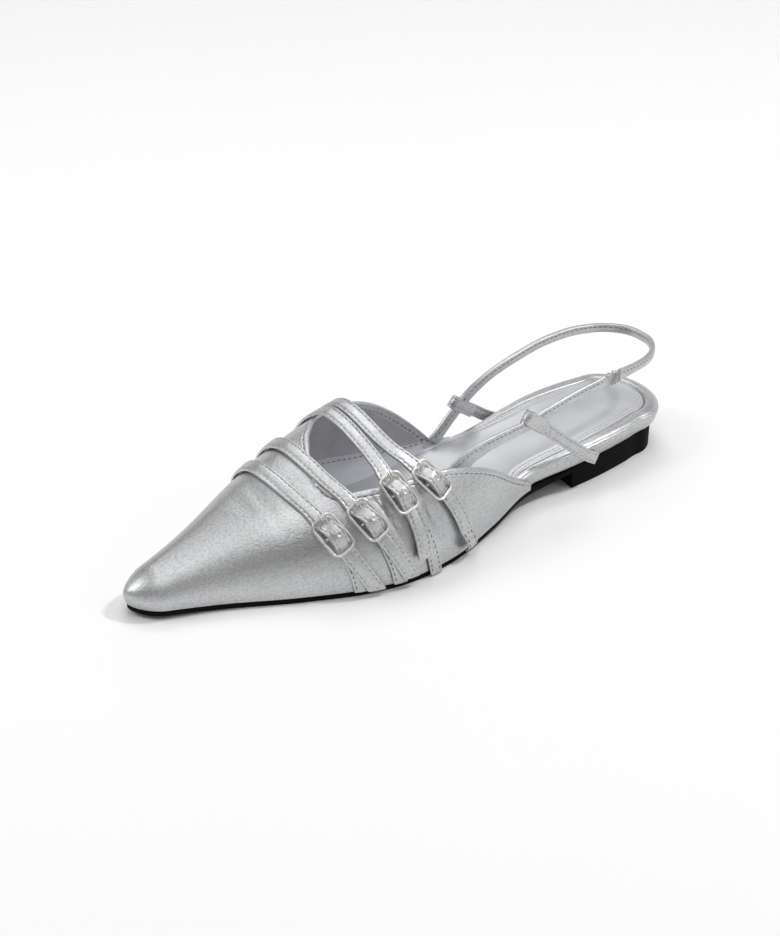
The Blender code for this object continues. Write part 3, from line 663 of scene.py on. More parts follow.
@dataclass(frozen=True)
class Stitch:
    """A row of stitches: each is a short round thread, bowed so that both of its ends sink into the
    leather."""

    pitch: float = 2.6
    length: float = 1.7
    width: float = 0.5
    height: float = 0.34
    sides: int = 6

    def row(self, path: np.ndarray, out: np.ndarray, start: float = 0.0, stop: float = 0.0) -> np.ndarray:
        """Stitches along a path.

        Args:
            path: Points of the seam.
            out: The way out of the leather at each point.
            start: Bare length before the first stitch.
            stop: Bare length after the last one.

        Returns:
            Stitches by rings by points.
        """
        run = travel(path)
        count = max(int((run[-1] - start - stop) / self.pitch), 1)
        at = start + (np.arange(count) + 0.5) * (run[-1] - start - stop) / count
        middle, way, over = (
            np.stack([np.interp(at, run, values[:, k]) for k in range(3)], -1)
            for values in (path, np.gradient(path, axis=0), out)
        )
        way = unit(way)
        side = unit(np.cross(over, way))
        over = np.cross(way, side)
        share = np.array([-1.0, -0.97, -0.72, 0.0, 0.72, 0.97, 1.0])
        full = np.array([0.0, 0.55, 0.95, 1.0, 0.95, 0.55, 0.0])
        turn = np.linspace(0, 2 * np.pi, self.sides, endpoint=False)
        along = share[:, None] * self.length / 2 + 0 * turn
        across = full[:, None] * np.cos(turn) * self.width / 2
        bow = self.height * (0.18 - 0.6 * share[:, None] ** 2)
        lift = full[:, None] * np.sin(turn) * self.height / 2 + bow
        return (
            middle[:, None, None]
            + along[None, ..., None] * way[:, None, None]
            + across[None, ..., None] * side[:, None, None]
            + lift[None, ..., None] * over[:, None, None]
        )


@dataclass(frozen=True)
class Last:
    """The form that the upper and its straps lie on. Each section is two quarter curves that meet at the
    ridge, and its lower wall leans out along the outline's own normal."""

    length: float = 267.8
    toe_round: float = 11.0
    nose_height: float = 4.0
    wall_lean: float = 1.2
    lean_start: float = 70.0
    lean_run: float = 30.0
    over_sole: float = 2.8
    frame_station: float = 133.618
    frame_across: float = 5.892
    # station, lateral half width, medial half width
    outline: Table = (
        (0, 18.0, 23.2),
        (17, 18.1, 23.2),
        (27, 20.4, 23.9),
        (36, 22.2, 24.2),
        (52, 24.4, 24.0),
        (64, 25.2, 23.4),
        (85, 26.2, 24.4),
        (110, 35.2, 29.8),
        (135, 43.6, 34.4),
        (160, 47.2, 36.4),
        (180, 44.2, 34.6),
        (205, 34.6, 27.8),
        (235, 20.6, 15.2),
        (267.8, 10.0, 6.0),
    )
    # station, height of the outsole's underside
    underside: Table = (
        (0, 8.9),
        (40, 8.7),
        (52, 8.3),
        (64, 7.4),
        (74, 6.3),
        (84, 5.3),
        (100, 3.0),
        (120, 0.9),
        (140, 0.0),
        (195, 0.0),
        (230, 0.3),
        (267.8, 2.0),
    )
    # station, height over the feather edge, shift to the lateral side, power of the section's curve
    ridge: Table = (
        (60, 60.5, -4.0, 2.0),
        (90, 58.5, -6.0, 2.0),
        (120, 56.5, -9.0, 2.0),
        (150, 52.5, -9.5, 2.0),
        (175, 46.3, -8.0, 2.0),
        (200, 37.6, -5.5, 2.0),
        (225, 27.2, -3.0, 2.0),
        (248, 17.6, -0.5, 2.1),
        (267.8, 10.4, 1.0, 2.2),
    )

    def place(self, station: np.ndarray, across: np.ndarray, up: np.ndarray) -> np.ndarray:
        """Points of the part's frame, in millimetres."""
        arrays = np.broadcast_arrays(station - self.frame_station, across - self.frame_across, up)
        return np.stack(arrays, -1)

    def half_width(self, side: Side, station: np.ndarray) -> np.ndarray:
        """Half width of the outline on one side."""
        return column(self.outline, 1 if side is Side.LATERAL else 2, station)

    @staticmethod
    def angle_on(side: Side, angle: np.ndarray) -> np.ndarray:
        """An angle up from one side's feather edge, as an angle on the last."""
        return angle if side is Side.LATERAL else 180 - angle

    def bottom(self, station: np.ndarray) -> np.ndarray:
        """Height of the outsole's underside."""
        return column(self.underside, 1, station)

    def feather(self, station: np.ndarray) -> np.ndarray:
        """Height of the feather edge, where the upper meets the outsole."""
        return self.bottom(station) + self.over_sole

    def point(self, station: np.ndarray, angle: np.ndarray, out: np.ndarray = 0.0) -> np.ndarray:
        """Points of the last: across is shift + side * reach * |cos| ** power, up is height * sin ** power.

        Args:
            station: Stations.
            angle: Angles in degrees.
            out: Distance out from the upper's outer face.

        Returns:
            Points of the frame, in the shape of the inputs.
        """
        station, angle, out = np.broadcast_arrays(*(np.asarray(v, float) for v in (station, angle, out)))
        at = station + out * ease(1 - (self.length - station) / (2 * self.toe_round))
        toe_radius = self.toe_round + out
        tip = rounded_end(self.length + out - at, toe_radius)
        turn = np.cos(np.radians(np.clip(angle, 0, 180)))
        rise = np.sin(np.radians(angle))
        lateral = turn >= 0
        half, ahead, behind = (
            np.where(lateral, self.half_width(Side.LATERAL, place), self.half_width(Side.MEDIAL, place))
            for place in (at, at + 0.5, at - 0.5)
        )
        width = half + out
        shift = column(self.ridge, 2, at) * tip
        power = 2 / column(self.ridge, 3, at)
        ridge = column(self.ridge, 1, at)
        height = self.nose_height + (ridge - self.nose_height) * tip + out
        side = np.where(lateral, 1.0, -1.0)
        reach = width * tip - side * shift
        share_up = np.sign(rise) * np.abs(rise) ** power
        across = shift + side * reach * np.abs(turn) ** power
        normal_along = np.sqrt(1 - tip**2) * width / toe_radius - (ahead - behind) * tip
        normal_size = np.hypot(normal_along, tip)
        share_of_ridge = share_up * height / (ridge + out)
        bow = np.clip(4 * share_of_ridge * (1 - share_of_ridge), 0, 1)
        lean = self.wall_lean * bow * np.clip((at - self.lean_start) / self.lean_run, 0, 1)
        return self.place(
            at + lean * normal_along / normal_size,
            across + side * lean * tip / normal_size,
            self.feather(at) + height * share_up,
        )

    def ways(
        self, station: np.ndarray, angle: np.ndarray, out: np.ndarray
    ) -> tuple[np.ndarray, np.ndarray, np.ndarray]:
        """Slopes of the last along the station and along the angle, and its outward normal.

        Args:
            station: Stations.
            angle: Angles in degrees.
            out: Distance out from the upper's outer face.

        Returns:
            The two slopes and the normal, each in the shape of the inputs.
        """
        along = self.point(station + 0.5, angle, out) - self.point(station - 0.5, angle, out)
        round_ = self.point(station, angle + 0.5, out) - self.point(station, angle - 0.5, out)
        return along, round_, unit(np.cross(round_, along))


class Crease(NamedTuple):
    """A soft trough in the leather, or a ridge where its depth is negative, along stations and angles."""

    path: Table
    width: float
    depth: float


@dataclass(frozen=True)
class Upper:
    """The hollow upper: a fan of lines from the top line to the hem, closed round the nose, with a wall, a
    rolled top line and a lining."""

    last: Last
    finishes: Finishes
    sole: "Sole"
    wall: float = 1.6
    bead: float = 0.22
    seam: float = 2.1
    lines: int = 9
    rows: int = 96
    hemward: float = 1.7
    lining_gap: float = 0.05
    lining_thick: float = 0.22
    seam_ends: float = 5.0  # bare length at both ends of the seam along the top line
    top_stitch: Stitch = Stitch(pitch=2.7, length=1.75)
    margin_foot: float = 2.5  # angle of the inner walls' foot up from the feather edge
    margin_least: float = 0.3
    margin_most: float = 9.0
    margin_spread: float = 1.15  # how far the margin reaches in over the sock, as a share of its rise
    margin_tuck: float = 0.5
    margin_thick: float = 0.16
    margin_stitch: Stitch = Stitch(pitch=2.6, length=1.6, width=0.45)
    # station, how far up the inner walls the sock's leather is turned, as an angle from the feather edge
    margin: Table = (
        (91, 5.5),
        (97, 8.8),
        (107, 8.8),
        (120, 10.6),
        (130, 12.4),
        (140, 14.2),
        (150, 16.2),
        (175, 20.0),
        (186, 22.0),
    )
    # top station, top angle, hem station, hem angle
    fan: Table = (
        (84.0, 3.0, 84.0, 0),
        (97.0, 13.5, 97.0, 0),
        (113.0, 27.5, 114.0, 0),
        (133.0, 38.6, 134.0, 0),
        (150.0, 43.0, 152.0, 0),
        (165.6, 47.0, 170.0, 0),
        (176.0, 50.0, 191.0, 0),
        (181.4, 52.8, 214.0, 0),
        (183.8, 56.2, 238.0, 0),
        (184.8, 60.2, 254.0, 0),
        (185.0, 64.2, 262.5, 0),
        (184.8, 68.0, 266.3, 0),
        (184.0, 72.0, 267.8, 0),
        (181.8, 77.6, 267.8, 45),
        (178.8, 83.8, 267.8, 90),
        (174.8, 90.6, 267.8, 135),
        (171.4, 97.2, 267.8, 180),
        (168.8, 102.4, 266.3, 180),
        (166.2, 107.2, 262.5, 180),
        (163.4, 111.2, 254.0, 180),
        (160.2, 114.6, 238.0, 180),
        (155.8, 117.6, 214.0, 180),
        (150.2, 120.8, 191.0, 180),
        (142.6, 126.0, 170.0, 180),
        (132.0, 135.6, 150.0, 180),
        (120.6, 147.6, 132.0, 180),
        (109.0, 161.0, 114.0, 180),
        (97.0, 176.0, 96.0, 180),
    )
    creases: tuple[Crease, ...] = (
        # hollows and swells where the instep straps pull the lateral wall
        Crease(((166.6, 47), (164.0, 32.5), (162.6, 25), (160.6, 13)), 3.2, 1.35),
        Crease(((169.5, 42), (167.8, 33), (166.6, 26), (166.0, 20)), 2.6, -0.8),
        Crease(((148.3, 34), (147.2, 27), (145.6, 21), (143.3, 13)), 3.4, 1.7),
        Crease(((152.5, 34), (151.2, 28), (150.3, 22)), 1.6, -0.5),
        Crease(((138.0, 35), (134.8, 30.5), (131.0, 24)), 1.6, 0.35),
        Crease(((178.0, 40), (176.2, 30), (174.2, 20)), 2.6, 0.35),
        # the pull in front of the second strap
        Crease(((186.2, 71), (187.9, 63.7), (187.1, 58.4), (185.2, 54)), 0.75, 0.5),
        Crease(((184.9, 70), (186.5, 63.7), (185.7, 58.6), (184.0, 55)), 0.7, -0.22),
        # faint walking creases over the vamp
        Crease(((206, 40), (207.5, 70), (206, 100), (203, 130)), 3.0, 0.22),
        Crease(((213, 55), (214, 85), (212, 115)), 3.4, 0.16),
    )

    def columns(self) -> list[np.ndarray]:
        """The fan's lines: top station, top angle, hem station and hem angle of each."""
        return by_row(self.fan, row_steps(self.fan, self.lines))

    def net(self, distances: np.ndarray) -> tuple[np.ndarray, np.ndarray]:
        """Stations and angles of points at distances down from the top line, then on to the hem.

        Args:
            distances: Distances of the first rows, in millimetres.

        Returns:
            Stations and angles, rows by lines.
        """
        top_station, top_angle, hem_station, hem_angle = self.columns()
        rough = np.linspace(0, 1, 30)[:, None]
        line = self.last.point(
            top_station + (hem_station - top_station) * rough, top_angle + (hem_angle - top_angle) * rough
        )
        length = np.linalg.norm(np.diff(line, axis=0), axis=2).sum(0)
        near = distances[:, None] / np.maximum(length, 2.0)
        most = np.minimum(near, 0.55 * distances[:, None] / distances[-1])
        rest = 1 - np.linspace(1, 0, self.rows)[1:, None] ** self.hemward
        down = np.concatenate([most, most[-1] + (1 - most[-1]) * rest])
        return (
            top_station + (hem_station - top_station) * down,
            top_angle + (hem_angle - top_angle) * down,
        )

    def sink(self, points: np.ndarray) -> np.ndarray:
        """How far the creases draw the leather in: depth * exp(-(distance / width) ** 2), fading to both ends
        of each crease.

        Args:
            points: Points of the upper.

        Returns:
            How far each of them is drawn in.
        """
        flat = points.reshape(-1, 3)
        depth = np.zeros(len(flat))
        for crease in self.creases:
            station, angle = by_row(crease.path, row_steps(crease.path, 16))
            path = self.last.point(station, angle)
            apart = np.linalg.norm(flat[:, None] - path[None], axis=2)
            nearest = apart.argmin(1)
            fade = np.sin(np.pi * (nearest + 0.5) / len(path)) ** 0.7
            depth += crease.depth * np.exp(-((apart.min(1) / crease.width) ** 2)) * fade
        return depth.reshape(points.shape[:-1])

    def on_hem(self) -> np.ndarray:
        """Marks the spaces between lines that end on the hem, not on the nose's middle."""
        _, _, hem_station, hem_angle = self.columns()
        ends = (hem_station < self.last.length) | (hem_angle == 0) | (hem_angle == 180)
        return ends[1:] & ends[:-1]

    def shell(self, distances: np.ndarray, raised: np.ndarray, outs: tuple[float, float]) -> Form:
        """A closed wall between two faces of the last, with a round edge along the top line.

        Args:
            distances: Distances of its first rows from the top line.
            raised: How far each of those rows stands proud on the outside.
            outs: How far its outer and inner faces lie out from the last.

        Returns:
            The form.
        """
        station, angle = self.net(distances)
        sunk = self.sink(self.last.point(station, angle))
        proud = np.concatenate([raised, np.zeros(len(station) - len(raised))])[:, None]
        outer = self.last.point(station, angle, outs[0] + proud - sunk)
        inner = self.last.point(station, angle, outs[1] - sunk)
        half = (outer[0] - inner[0]) / 2
        top = (outer[0] + inner[0]) / 2
        up = unit(outer[0] - outer[1]) * np.linalg.norm(half, axis=-1, keepdims=True)
        turn = np.radians(np.linspace(0, 180, 9)[1:-1])[:, None, None]
        rim = top + half * np.cos(turn) + up * np.sin(turn)
        ring = np.concatenate([outer[::-1], rim, inner])
        flat = (outer + inner) / 2
        middle = np.concatenate([flat[::-1], 0 * rim + top + up, flat])
        ring = np.concatenate([middle[:, :1], ring, middle[:, -1:]], 1)
        form = Form().grid(ring)
        hem = np.stack([ring[0], ring[-1]])
        keep = np.concatenate([[True], self.on_hem(), [True]])[None]
        return form.grid(hem, keep=keep)

    def topline(self, distance: float, out: float) -> tuple[np.ndarray, np.ndarray]:
        """A line at a distance from the top line, and the way out there.

        Args:
            distance: Distance from the top line.
            out: Distance out from the upper's outer face.

        Returns:
            Points of the line and the way out at each.
        """
        station, angle = (value[1] for value in self.net(np.array([0.0, distance, 4.0])))
        sunk = self.sink(self.last.point(station, angle))
        path = self.last.point(station, angle, out - sunk)
        return path, unit(self.last.point(station, angle, out + 0.2 - sunk) - path)

    def build(self) -> None:
        """Builds the shell, its lining, the seam along the top line and the margin that the sock is sewn
        to."""
        seam, bead = self.seam, self.bead
        channel = seam + np.array([-0.4, -0.2, 0.0, 0.2, 0.45])
        distances = np.concatenate([[0.0, 0.35, 0.8, 1.3], channel, [3.2, 4.4]])
        raised = np.array([0.1, bead, bead, bead, bead, 0.08, -0.06, 0.08, bead * 0.8, 0.1, 0.0])
        shell = self.shell(distances, raised, (0.0, -self.wall))
        shell.build("foil_upper", self.finishes.foil, Slot.FOIL, ("upper",))
        start = -self.wall - self.lining_gap
        inside = self.shell(
            distances + np.linspace(3.6, 0.8, len(distances)), 0 * raised, (start, start - self.lining_thick)
        )
        inside.build("vamp_lining", self.finishes.lining, Slot.LINING)
        path, out = self.topline(seam, -0.02)
        seams = Form().copies(self.top_stitch.row(path, out, self.seam_ends, self.seam_ends))
        path, out = self.topline(seam + 0.3, -self.wall + 0.02)
        seams.copies(self.top_stitch.row(path, -out, self.seam_ends, self.seam_ends))
        seams.build("topline_stitches", self.finishes.shade_grey_thread, Slot.FOIL)
        self.build_margin()

    def build_margin(self) -> None:
        """The sock's leather turned up both inner walls and sewn there: a quadratic curve from the sock, by
        way of the wall's foot, up to the seam."""
        station = np.linspace(self.margin[0][0], self.margin[-1][0], 120)
        floor = self.sole.sock_face(station) - 0.06
        high = column(self.margin, 1, station)
        share = np.linspace(0, 1, 18)[:, None, None]
        deep = -self.wall - self.lining_gap - self.lining_thick - 0.03
        strips, seams = Form(), Form()
        for side in Side:
            top, low = (
                self.last.point(station, self.last.angle_on(side, angle), deep)
                for angle in (high, self.margin_foot)
            )
            low[:, 2] = floor + 0.4
            rise = np.clip(top[:, 2] - floor, self.margin_least, self.margin_most)
            spread = side.value * rise * self.margin_spread
            inner = low - np.stack([0 * rise, spread, rise * 0 + self.margin_tuck], -1)
            face = (1 - share) ** 2 * inner + 2 * share * (1 - share) * low + share**2 * top
            way = unit(np.cross(np.gradient(face, axis=1), np.gradient(face, axis=0))) * side.value
            lift = self.margin_thick * np.sqrt(np.clip(1 - share**14, 0, 1))
            ring = np.concatenate([face + way * lift, (face - way * 0.04)[::-1]])
            strips.rod(ring.transpose(1, 0, 2), 0.05)
            row = face[-3] + way[-3] * 0.15
            seams.copies(self.margin_stitch.row(row, way[-3], 4.0, 3.0))
        strips.build("sock_margin", self.finishes.margin, Slot.LINING)
        seams.build("sock_margin_stitches", self.finishes.shade_grey_thread, Slot.LINING)


@dataclass(frozen=True)
class Sole:
    """The layers under the foot, which all follow one outline: black outsole and heel, foil-covered footbed
    with a rolled edge, and the stitched sock let into it."""

    last: Last
    finishes: Finishes
    heel_back: float = 1.3
    heel_round: float = 16.0
    heel_axis: float = -2.9
    lateral_wing: float = 84.0
    medial_wing: float = 96.0
    wing_run: float = 34.0
    sock_late: float = 16.0  # how far inside the lateral wing the sock keeps to the footbed's rim
    breast: float = 60.0
    breast_hollow: float = 1.5
    gap: float = 0.3
    under_upper: float = 2.1
    toe_back: float = 8.0
    lateral_lowered: float = 102.0
    medial_lowered: float = 92.0
    lowered_run: float = 10.0
    dish: float = 0.9
    dish_run: float = 26.0
    sock_below: float = 0.5
    sock_edge: float = 3.75
    sock_clear: float = 0.15
    sock_thick: float = 1.2
    sock_seams: tuple[float, ...] = (1.28, 3.13)
    sock_seam_end: float = 104.0
    sock_stitch: Stitch = Stitch(pitch=2.3, length=1.4, width=0.36, height=0.26)
    # set in, height
    outsole_rings: Table = ((1.0, 0), (0.66, 0.12), (0.5, 0.5), (0.5, 1.9), (0.56, 2.3), (0.8, 2.5))
    # set in, share of the height under the outsole, step up from there
    heel_rings: Table = (
        (1.3, 0, 0),
        (0.95, 0, 0.14),
        (0.8, 0, 0.5),
        (0.55, 0.9, 0.0),
        (0.47, 1, 0.6),
        (0.47, 1, 1.2),
        (0.9, 1, 1.2),
    )
    # set in, height over the sock's face
    sock_rings: Table = (
        (0.0, -0.45),
        (0.1, -0.15),
        (0.4, 0.0),
        (1.05, 0.0),
        (1.2, -0.06),
        (1.35, -0.06),
        (1.5, 0.0),
        (2.9, 0.03),
        (3.05, -0.04),
        (3.2, -0.04),
        (3.35, 0.03),
        (4.8, 0.03),
    )
    # station, thickness of the footbed
    footbed_thick: Table = (
        (0, 9.6),
        (40, 9.6),
        (70, 8.6),
        (90, 7.2),
        (110, 5.8),
        (140, 4.8),
        (220, 4.2),
        (267.8, 3.4),
    )
    # station, flare of the footbed's edge over the outline
    flare: Table = ((0, 3.0), (26, 2.9), (40, 2.5), (55, 1.7), (70, 0.7), (80, 0.0), (267.8, 0.0))
    # set in, share of the flare, share of the thickness, step up from there
    footbed_edge: Table = (
        (0.8, 0.0, 0.0, 0.0),
        (0.1, 0.05, 0.0, 0.7),
        (0.0, 0.52, 0.24, 0.0),
        (0.0, 0.86, 0.52, 0.0),
        (0.0, 1.0, 0.72, 0.0),
        (0.35, 0.97, 1.0, -1.55),
        (0.9, 0.85, 1.0, -0.75),
        (1.6, 0.6, 1.0, -0.2),
        (2.3, 0.3, 1.0, 0.0),
        (2.9, 0.1, 1.0, -0.3),
        (3.35, 0.0, 1.0, -1.0),
        (3.45, 0.0, 1.0, -2.1),
    )

    def edge(
        self,
        side: Side,
        back: np.ndarray,
        front: np.ndarray,
        flare: np.ndarray,
        toe: float,
        end: float,
        late: float,
    ) -> tuple[np.ndarray, np.ndarray]:
        """Stations and places across of one side of a layer's rings: the half width, shrunk by a quarter
        circle towards the heel's back and the toe.

        Args:
            side: Which side.
            back: How far each ring is set out from the outline behind the upper's ends.
            front: How far it is set out ahead of them.
            flare: Its share of the flare.
            toe: Station of the layer's toe.
            end: Station where the layer stops, if that is short of the toe.
            late: How far inside the lateral wing the layer still keeps to the footbed's rim.

        Returns:
            Stations and places across, rings by points.
        """
        back, front, flare = (np.asarray(value, float)[:, None] for value in (back, front, flare))
        full = back + flare * self.flare[0][1]
        heel_turn = np.linspace(0, np.pi / 2, 22)
        toe_turn = np.linspace(np.pi / 2, 0, 16)
        heel = self.heel_back - full + (self.heel_round + full) * (1 - np.cos(heel_turn))
        toe_run = self.last.toe_round + front
        nose = toe + front - toe_run * (1 - np.cos(toe_turn))
        start = self.heel_back + self.heel_round + 1.2
        short = end < toe
        stop, count = (end, 40) if short else (toe - self.last.toe_round - 1.5, 150)
        middle = np.broadcast_to(np.linspace(start, stop, count), (len(back), count))
        stations = np.concatenate([heel, middle] if short else [heel, middle, nose], 1)
        switch = self.lateral_wing if side is Side.LATERAL else self.medial_wing
        share = ease((stations - switch + self.wing_run) / self.wing_run)
        hold = share
        if late and side is Side.LATERAL:
            hold = ease((stations - switch) / late)
            back = back - self.under_upper * share
        out = back + (front - back) * hold + flare * column(self.flare, 1, stations)
        heel_share = rounded_end(stations - self.heel_back + full, self.heel_round + full)
        toe_share = rounded_end(toe + front - stations, toe_run)
        axis = self.heel_axis * side.value
        half = axis + ((self.last.half_width(side, stations) + out) * toe_share - axis) * heel_share
        return stations, side.value * half

    def layer(
        self,
        back: np.ndarray,
        front: np.ndarray,
        up: Callable[[np.ndarray, Side], np.ndarray],
        flare: np.ndarray | None = None,
        toe: float | None = None,
        end: float | None = None,
        hollow: float = 0.0,
        dish: float = 0.0,
        late: float = 0.0,
    ) -> Form:
        """A closed layer: a wall of rings round the outline, and its first and last ring filled from side to
        side.

        Args:
            back: How far each ring is set out behind the upper's ends.
            front: How far it is set out ahead of them.
            up: Function that gives the rings' heights on a side from their stations.
            flare: The rings' shares of the flare.
            toe: Station of its toe, the last's own if not given.
            end: Station where it stops.
            hollow: Depth of a hollow end.
            dish: How far the middle of its last ring sinks.
            late: How far inside the lateral wing it still keeps to the footbed's rim.

        Returns:
            The form.
        """
        toe = self.last.length if toe is None else toe
        end = self.last.length if end is None else end
        flare = 0 * back if flare is None else flare
        stations, lateral = self.edge(Side.LATERAL, back, front, flare, toe, end, late)
        _, medial = self.edge(Side.MEDIAL, back, front, flare, toe, end, late)
        share = np.linspace(0, 1, 25)
        bow = 1 - (2 * share - 1) ** 2
        run = stations[..., None] - hollow * bow * ease((stations[..., None] - end + 12) / 12)
        across = lateral[..., None] + (medial - lateral)[..., None] * share
        near, far = (up(stations, side)[..., None] for side in Side)
        points = self.last.place(run, across, near + (far - near) * share)
        wall = np.concatenate([points[:, :, 0], points[:, -1, 1:-1], points[:, ::-1, -1]], 1)
        top = points[-1].copy()
        top[..., 2] -= dish * bow * ease((stations[-1] - stations[-1].min()) / self.dish_run)[:, None]
        return Form().grid(wall, closed=True).grid(points[0]).grid(top)

    def footbed_top(self, station: np.ndarray) -> np.ndarray:
        """Height of the footbed's upper face."""
        return self.last.feather(station) + column(self.footbed_thick, 1, station)

    def sock_face(self, station: np.ndarray) -> np.ndarray:
        """Height of the sock's upper face."""
        return self.footbed_top(station) - self.sock_below

    def build(self) -> None:
        """Builds the four layers and the sock's seams."""
        self.build_outsole()
        self.build_heel()
        self.build_footbed()
        self.build_sock()

    def build_outsole(self) -> None:
        """The black outsole, its edges broken."""
        rings = np.array(self.outsole_rings)
        form = self.layer(-rings[:, 0], -rings[:, 0], lambda at, _: self.last.bottom(at) + rings[:, 1:])
        form.build("rubber_outsole", self.finishes.rubber, Slot.RUBBER, ("outsole",))

    def build_heel(self) -> None:
        """The low block heel, its edges broken."""
        rings = np.array(self.heel_rings)

        def up(stations: np.ndarray, _: Side) -> np.ndarray:
            """Heights of the heel's rings."""
            return rings[:, 1:2] * (self.last.bottom(stations) - self.gap) + rings[:, 2:]

        form = self.layer(-rings[:, 0], -rings[:, 0], up, end=self.breast, hollow=self.breast_hollow)
        form.build("rubber_heel", self.finishes.rubber, Slot.RUBBER, ("heel",))

    def build_footbed(self) -> None:
        """The covered footbed: its rolled edge flares out round the heel and dips to the sock."""
        set_in, flare, share, step = by_row(self.footbed_edge, row_steps(self.footbed_edge, 5))

        def up(stations: np.ndarray, side: Side) -> np.ndarray:
            """Heights of the edge's rings.

            Args:
                stations: Stations of the rings' points.
                side: Which side of the shoe they are on.

            Returns:
                Heights, rings by points.
            """
            thick = column(self.footbed_thick, 1, stations)
            rings = self.last.feather(stations) + thick * share[:, None] + step[:, None]
            face = self.sock_face(stations)
            lowered = self.lateral_lowered
            if side is Side.MEDIAL:
                lowered = self.medial_lowered
                rings = rings + (np.minimum(rings, face + 0.12) - rings) * ease(stations / 20 - 0.2)
            under = np.minimum(rings, face - self.sock_thick - 0.15)
            return rings + (under - rings) * ease((stations - lowered) / self.lowered_run)

        toe = self.last.length - self.toe_back
        form = self.layer(-set_in, -self.under_upper - set_in, up, flare, toe=toe)
        form.build("foil_footbed", self.finishes.foil, Slot.FOIL, ("footbed",))

    def build_sock(self) -> None:
        """The sock: two pressed lines run round its edge, with a seam in each."""
        rings = np.array([(0.0, -self.sock_thick), *self.sock_rings])
        toe = self.last.length - self.toe_back
        back, front = -self.sock_edge, -self.under_upper - self.sock_clear

        def up(stations: np.ndarray, _: Side) -> np.ndarray:
            """Heights of the sock's rings."""
            return self.sock_face(stations) + rings[:, 1:]

        form = self.layer(
            back - rings[:, 0], front - rings[:, 0], up, toe=toe, dish=self.dish, late=self.sock_late
        )
        form.build("leather_sock", self.finishes.sock, Slot.LINING, ("insole",))
        seams = Form()
        for set_in in self.sock_seams:
            ring = np.array([-set_in])
            lateral, medial = (
                np.concatenate(self.edge(side, ring + back, ring + front, 0 * ring, toe, toe, self.sock_late))
                for side in Side
            )
            station, across = np.concatenate([lateral[:, ::-1], medial[:, 1:]], 1)
            path = self.last.place(station, across, self.sock_face(station) - 0.05)
            path = path[station < self.sock_seam_end]
            rise = np.broadcast_to([0.0, 0.0, 1.0], path.shape)
            seams.copies(self.sock_stitch.row(path, rise))
        seams.build("sock_stitches", self.finishes.light_thread, Slot.LINING)


class BuckleFrame(NamedTuple):
    """Where a buckle's bar lies: its middle, the way along the strap towards the instep, the way across it,
    and the way out from the foot."""

    middle: np.ndarray
    up_strap: np.ndarray
    across: np.ndarray
    out: np.ndarray

    def place(self, along: np.ndarray, across: np.ndarray, out: np.ndarray) -> np.ndarray:
        """Points from distances along the strap, across it and out from the bar."""
        along, across, out = np.broadcast_arrays(*(np.asarray(v, float) for v in (along, across, out)))
        return (
            self.middle
            + along[..., None] * self.up_strap
            + across[..., None] * self.across
            + out[..., None] * self.out
        )


@dataclass(frozen=True)
class Ribbon:
    """A strap as it lies on the last: its middle line, its lift, and the steps of station and angle that lead
    to its edge."""

    last: Last
    station: np.ndarray
    angle: np.ndarray
    lift: np.ndarray
    moves: np.ndarray
    half: float

    def surface(self, across: np.ndarray, height: np.ndarray) -> np.ndarray:
        """Points at places across the strap and heights over its underside, one row for each point of its
        middle line."""
        way = np.asarray(across, float) / self.half
        return self.last.point(
            self.station[:, None] + self.moves[:, :1] * way,
            self.angle[:, None] + self.moves[:, 1:] * way,
            self.lift[:, None] + height,
        )

    def line(self, across: np.ndarray, height: float) -> tuple[np.ndarray, np.ndarray]:
        """A line along the strap at one place across, or at one for each of its points, and the way out.

        Args:
            across: Place across the strap, one or one for each point.
            height: Height over its underside.

        Returns:
            Points of the line and the way out at each.
        """
        across = np.reshape(across, (-1, 1))
        path = self.surface(across, height)[:, 0]
        return path, unit(self.surface(across, height + 0.2)[:, 0] - path)

    def cross(self, row: int, reach: float, height: float) -> tuple[np.ndarray, np.ndarray]:
        """A line across the strap at one row, and the way out from it.

        Args:
            row: The row of the strap.
            reach: How far the line goes to both sides.
            height: Height over the strap's underside.

        Returns:
            Points of the line and the way out at each.
        """
        across = np.linspace(-reach, reach, 9)
        path = self.surface(across, height)[row]
        return path, unit(self.surface(across, height + 0.2)[row] - path)


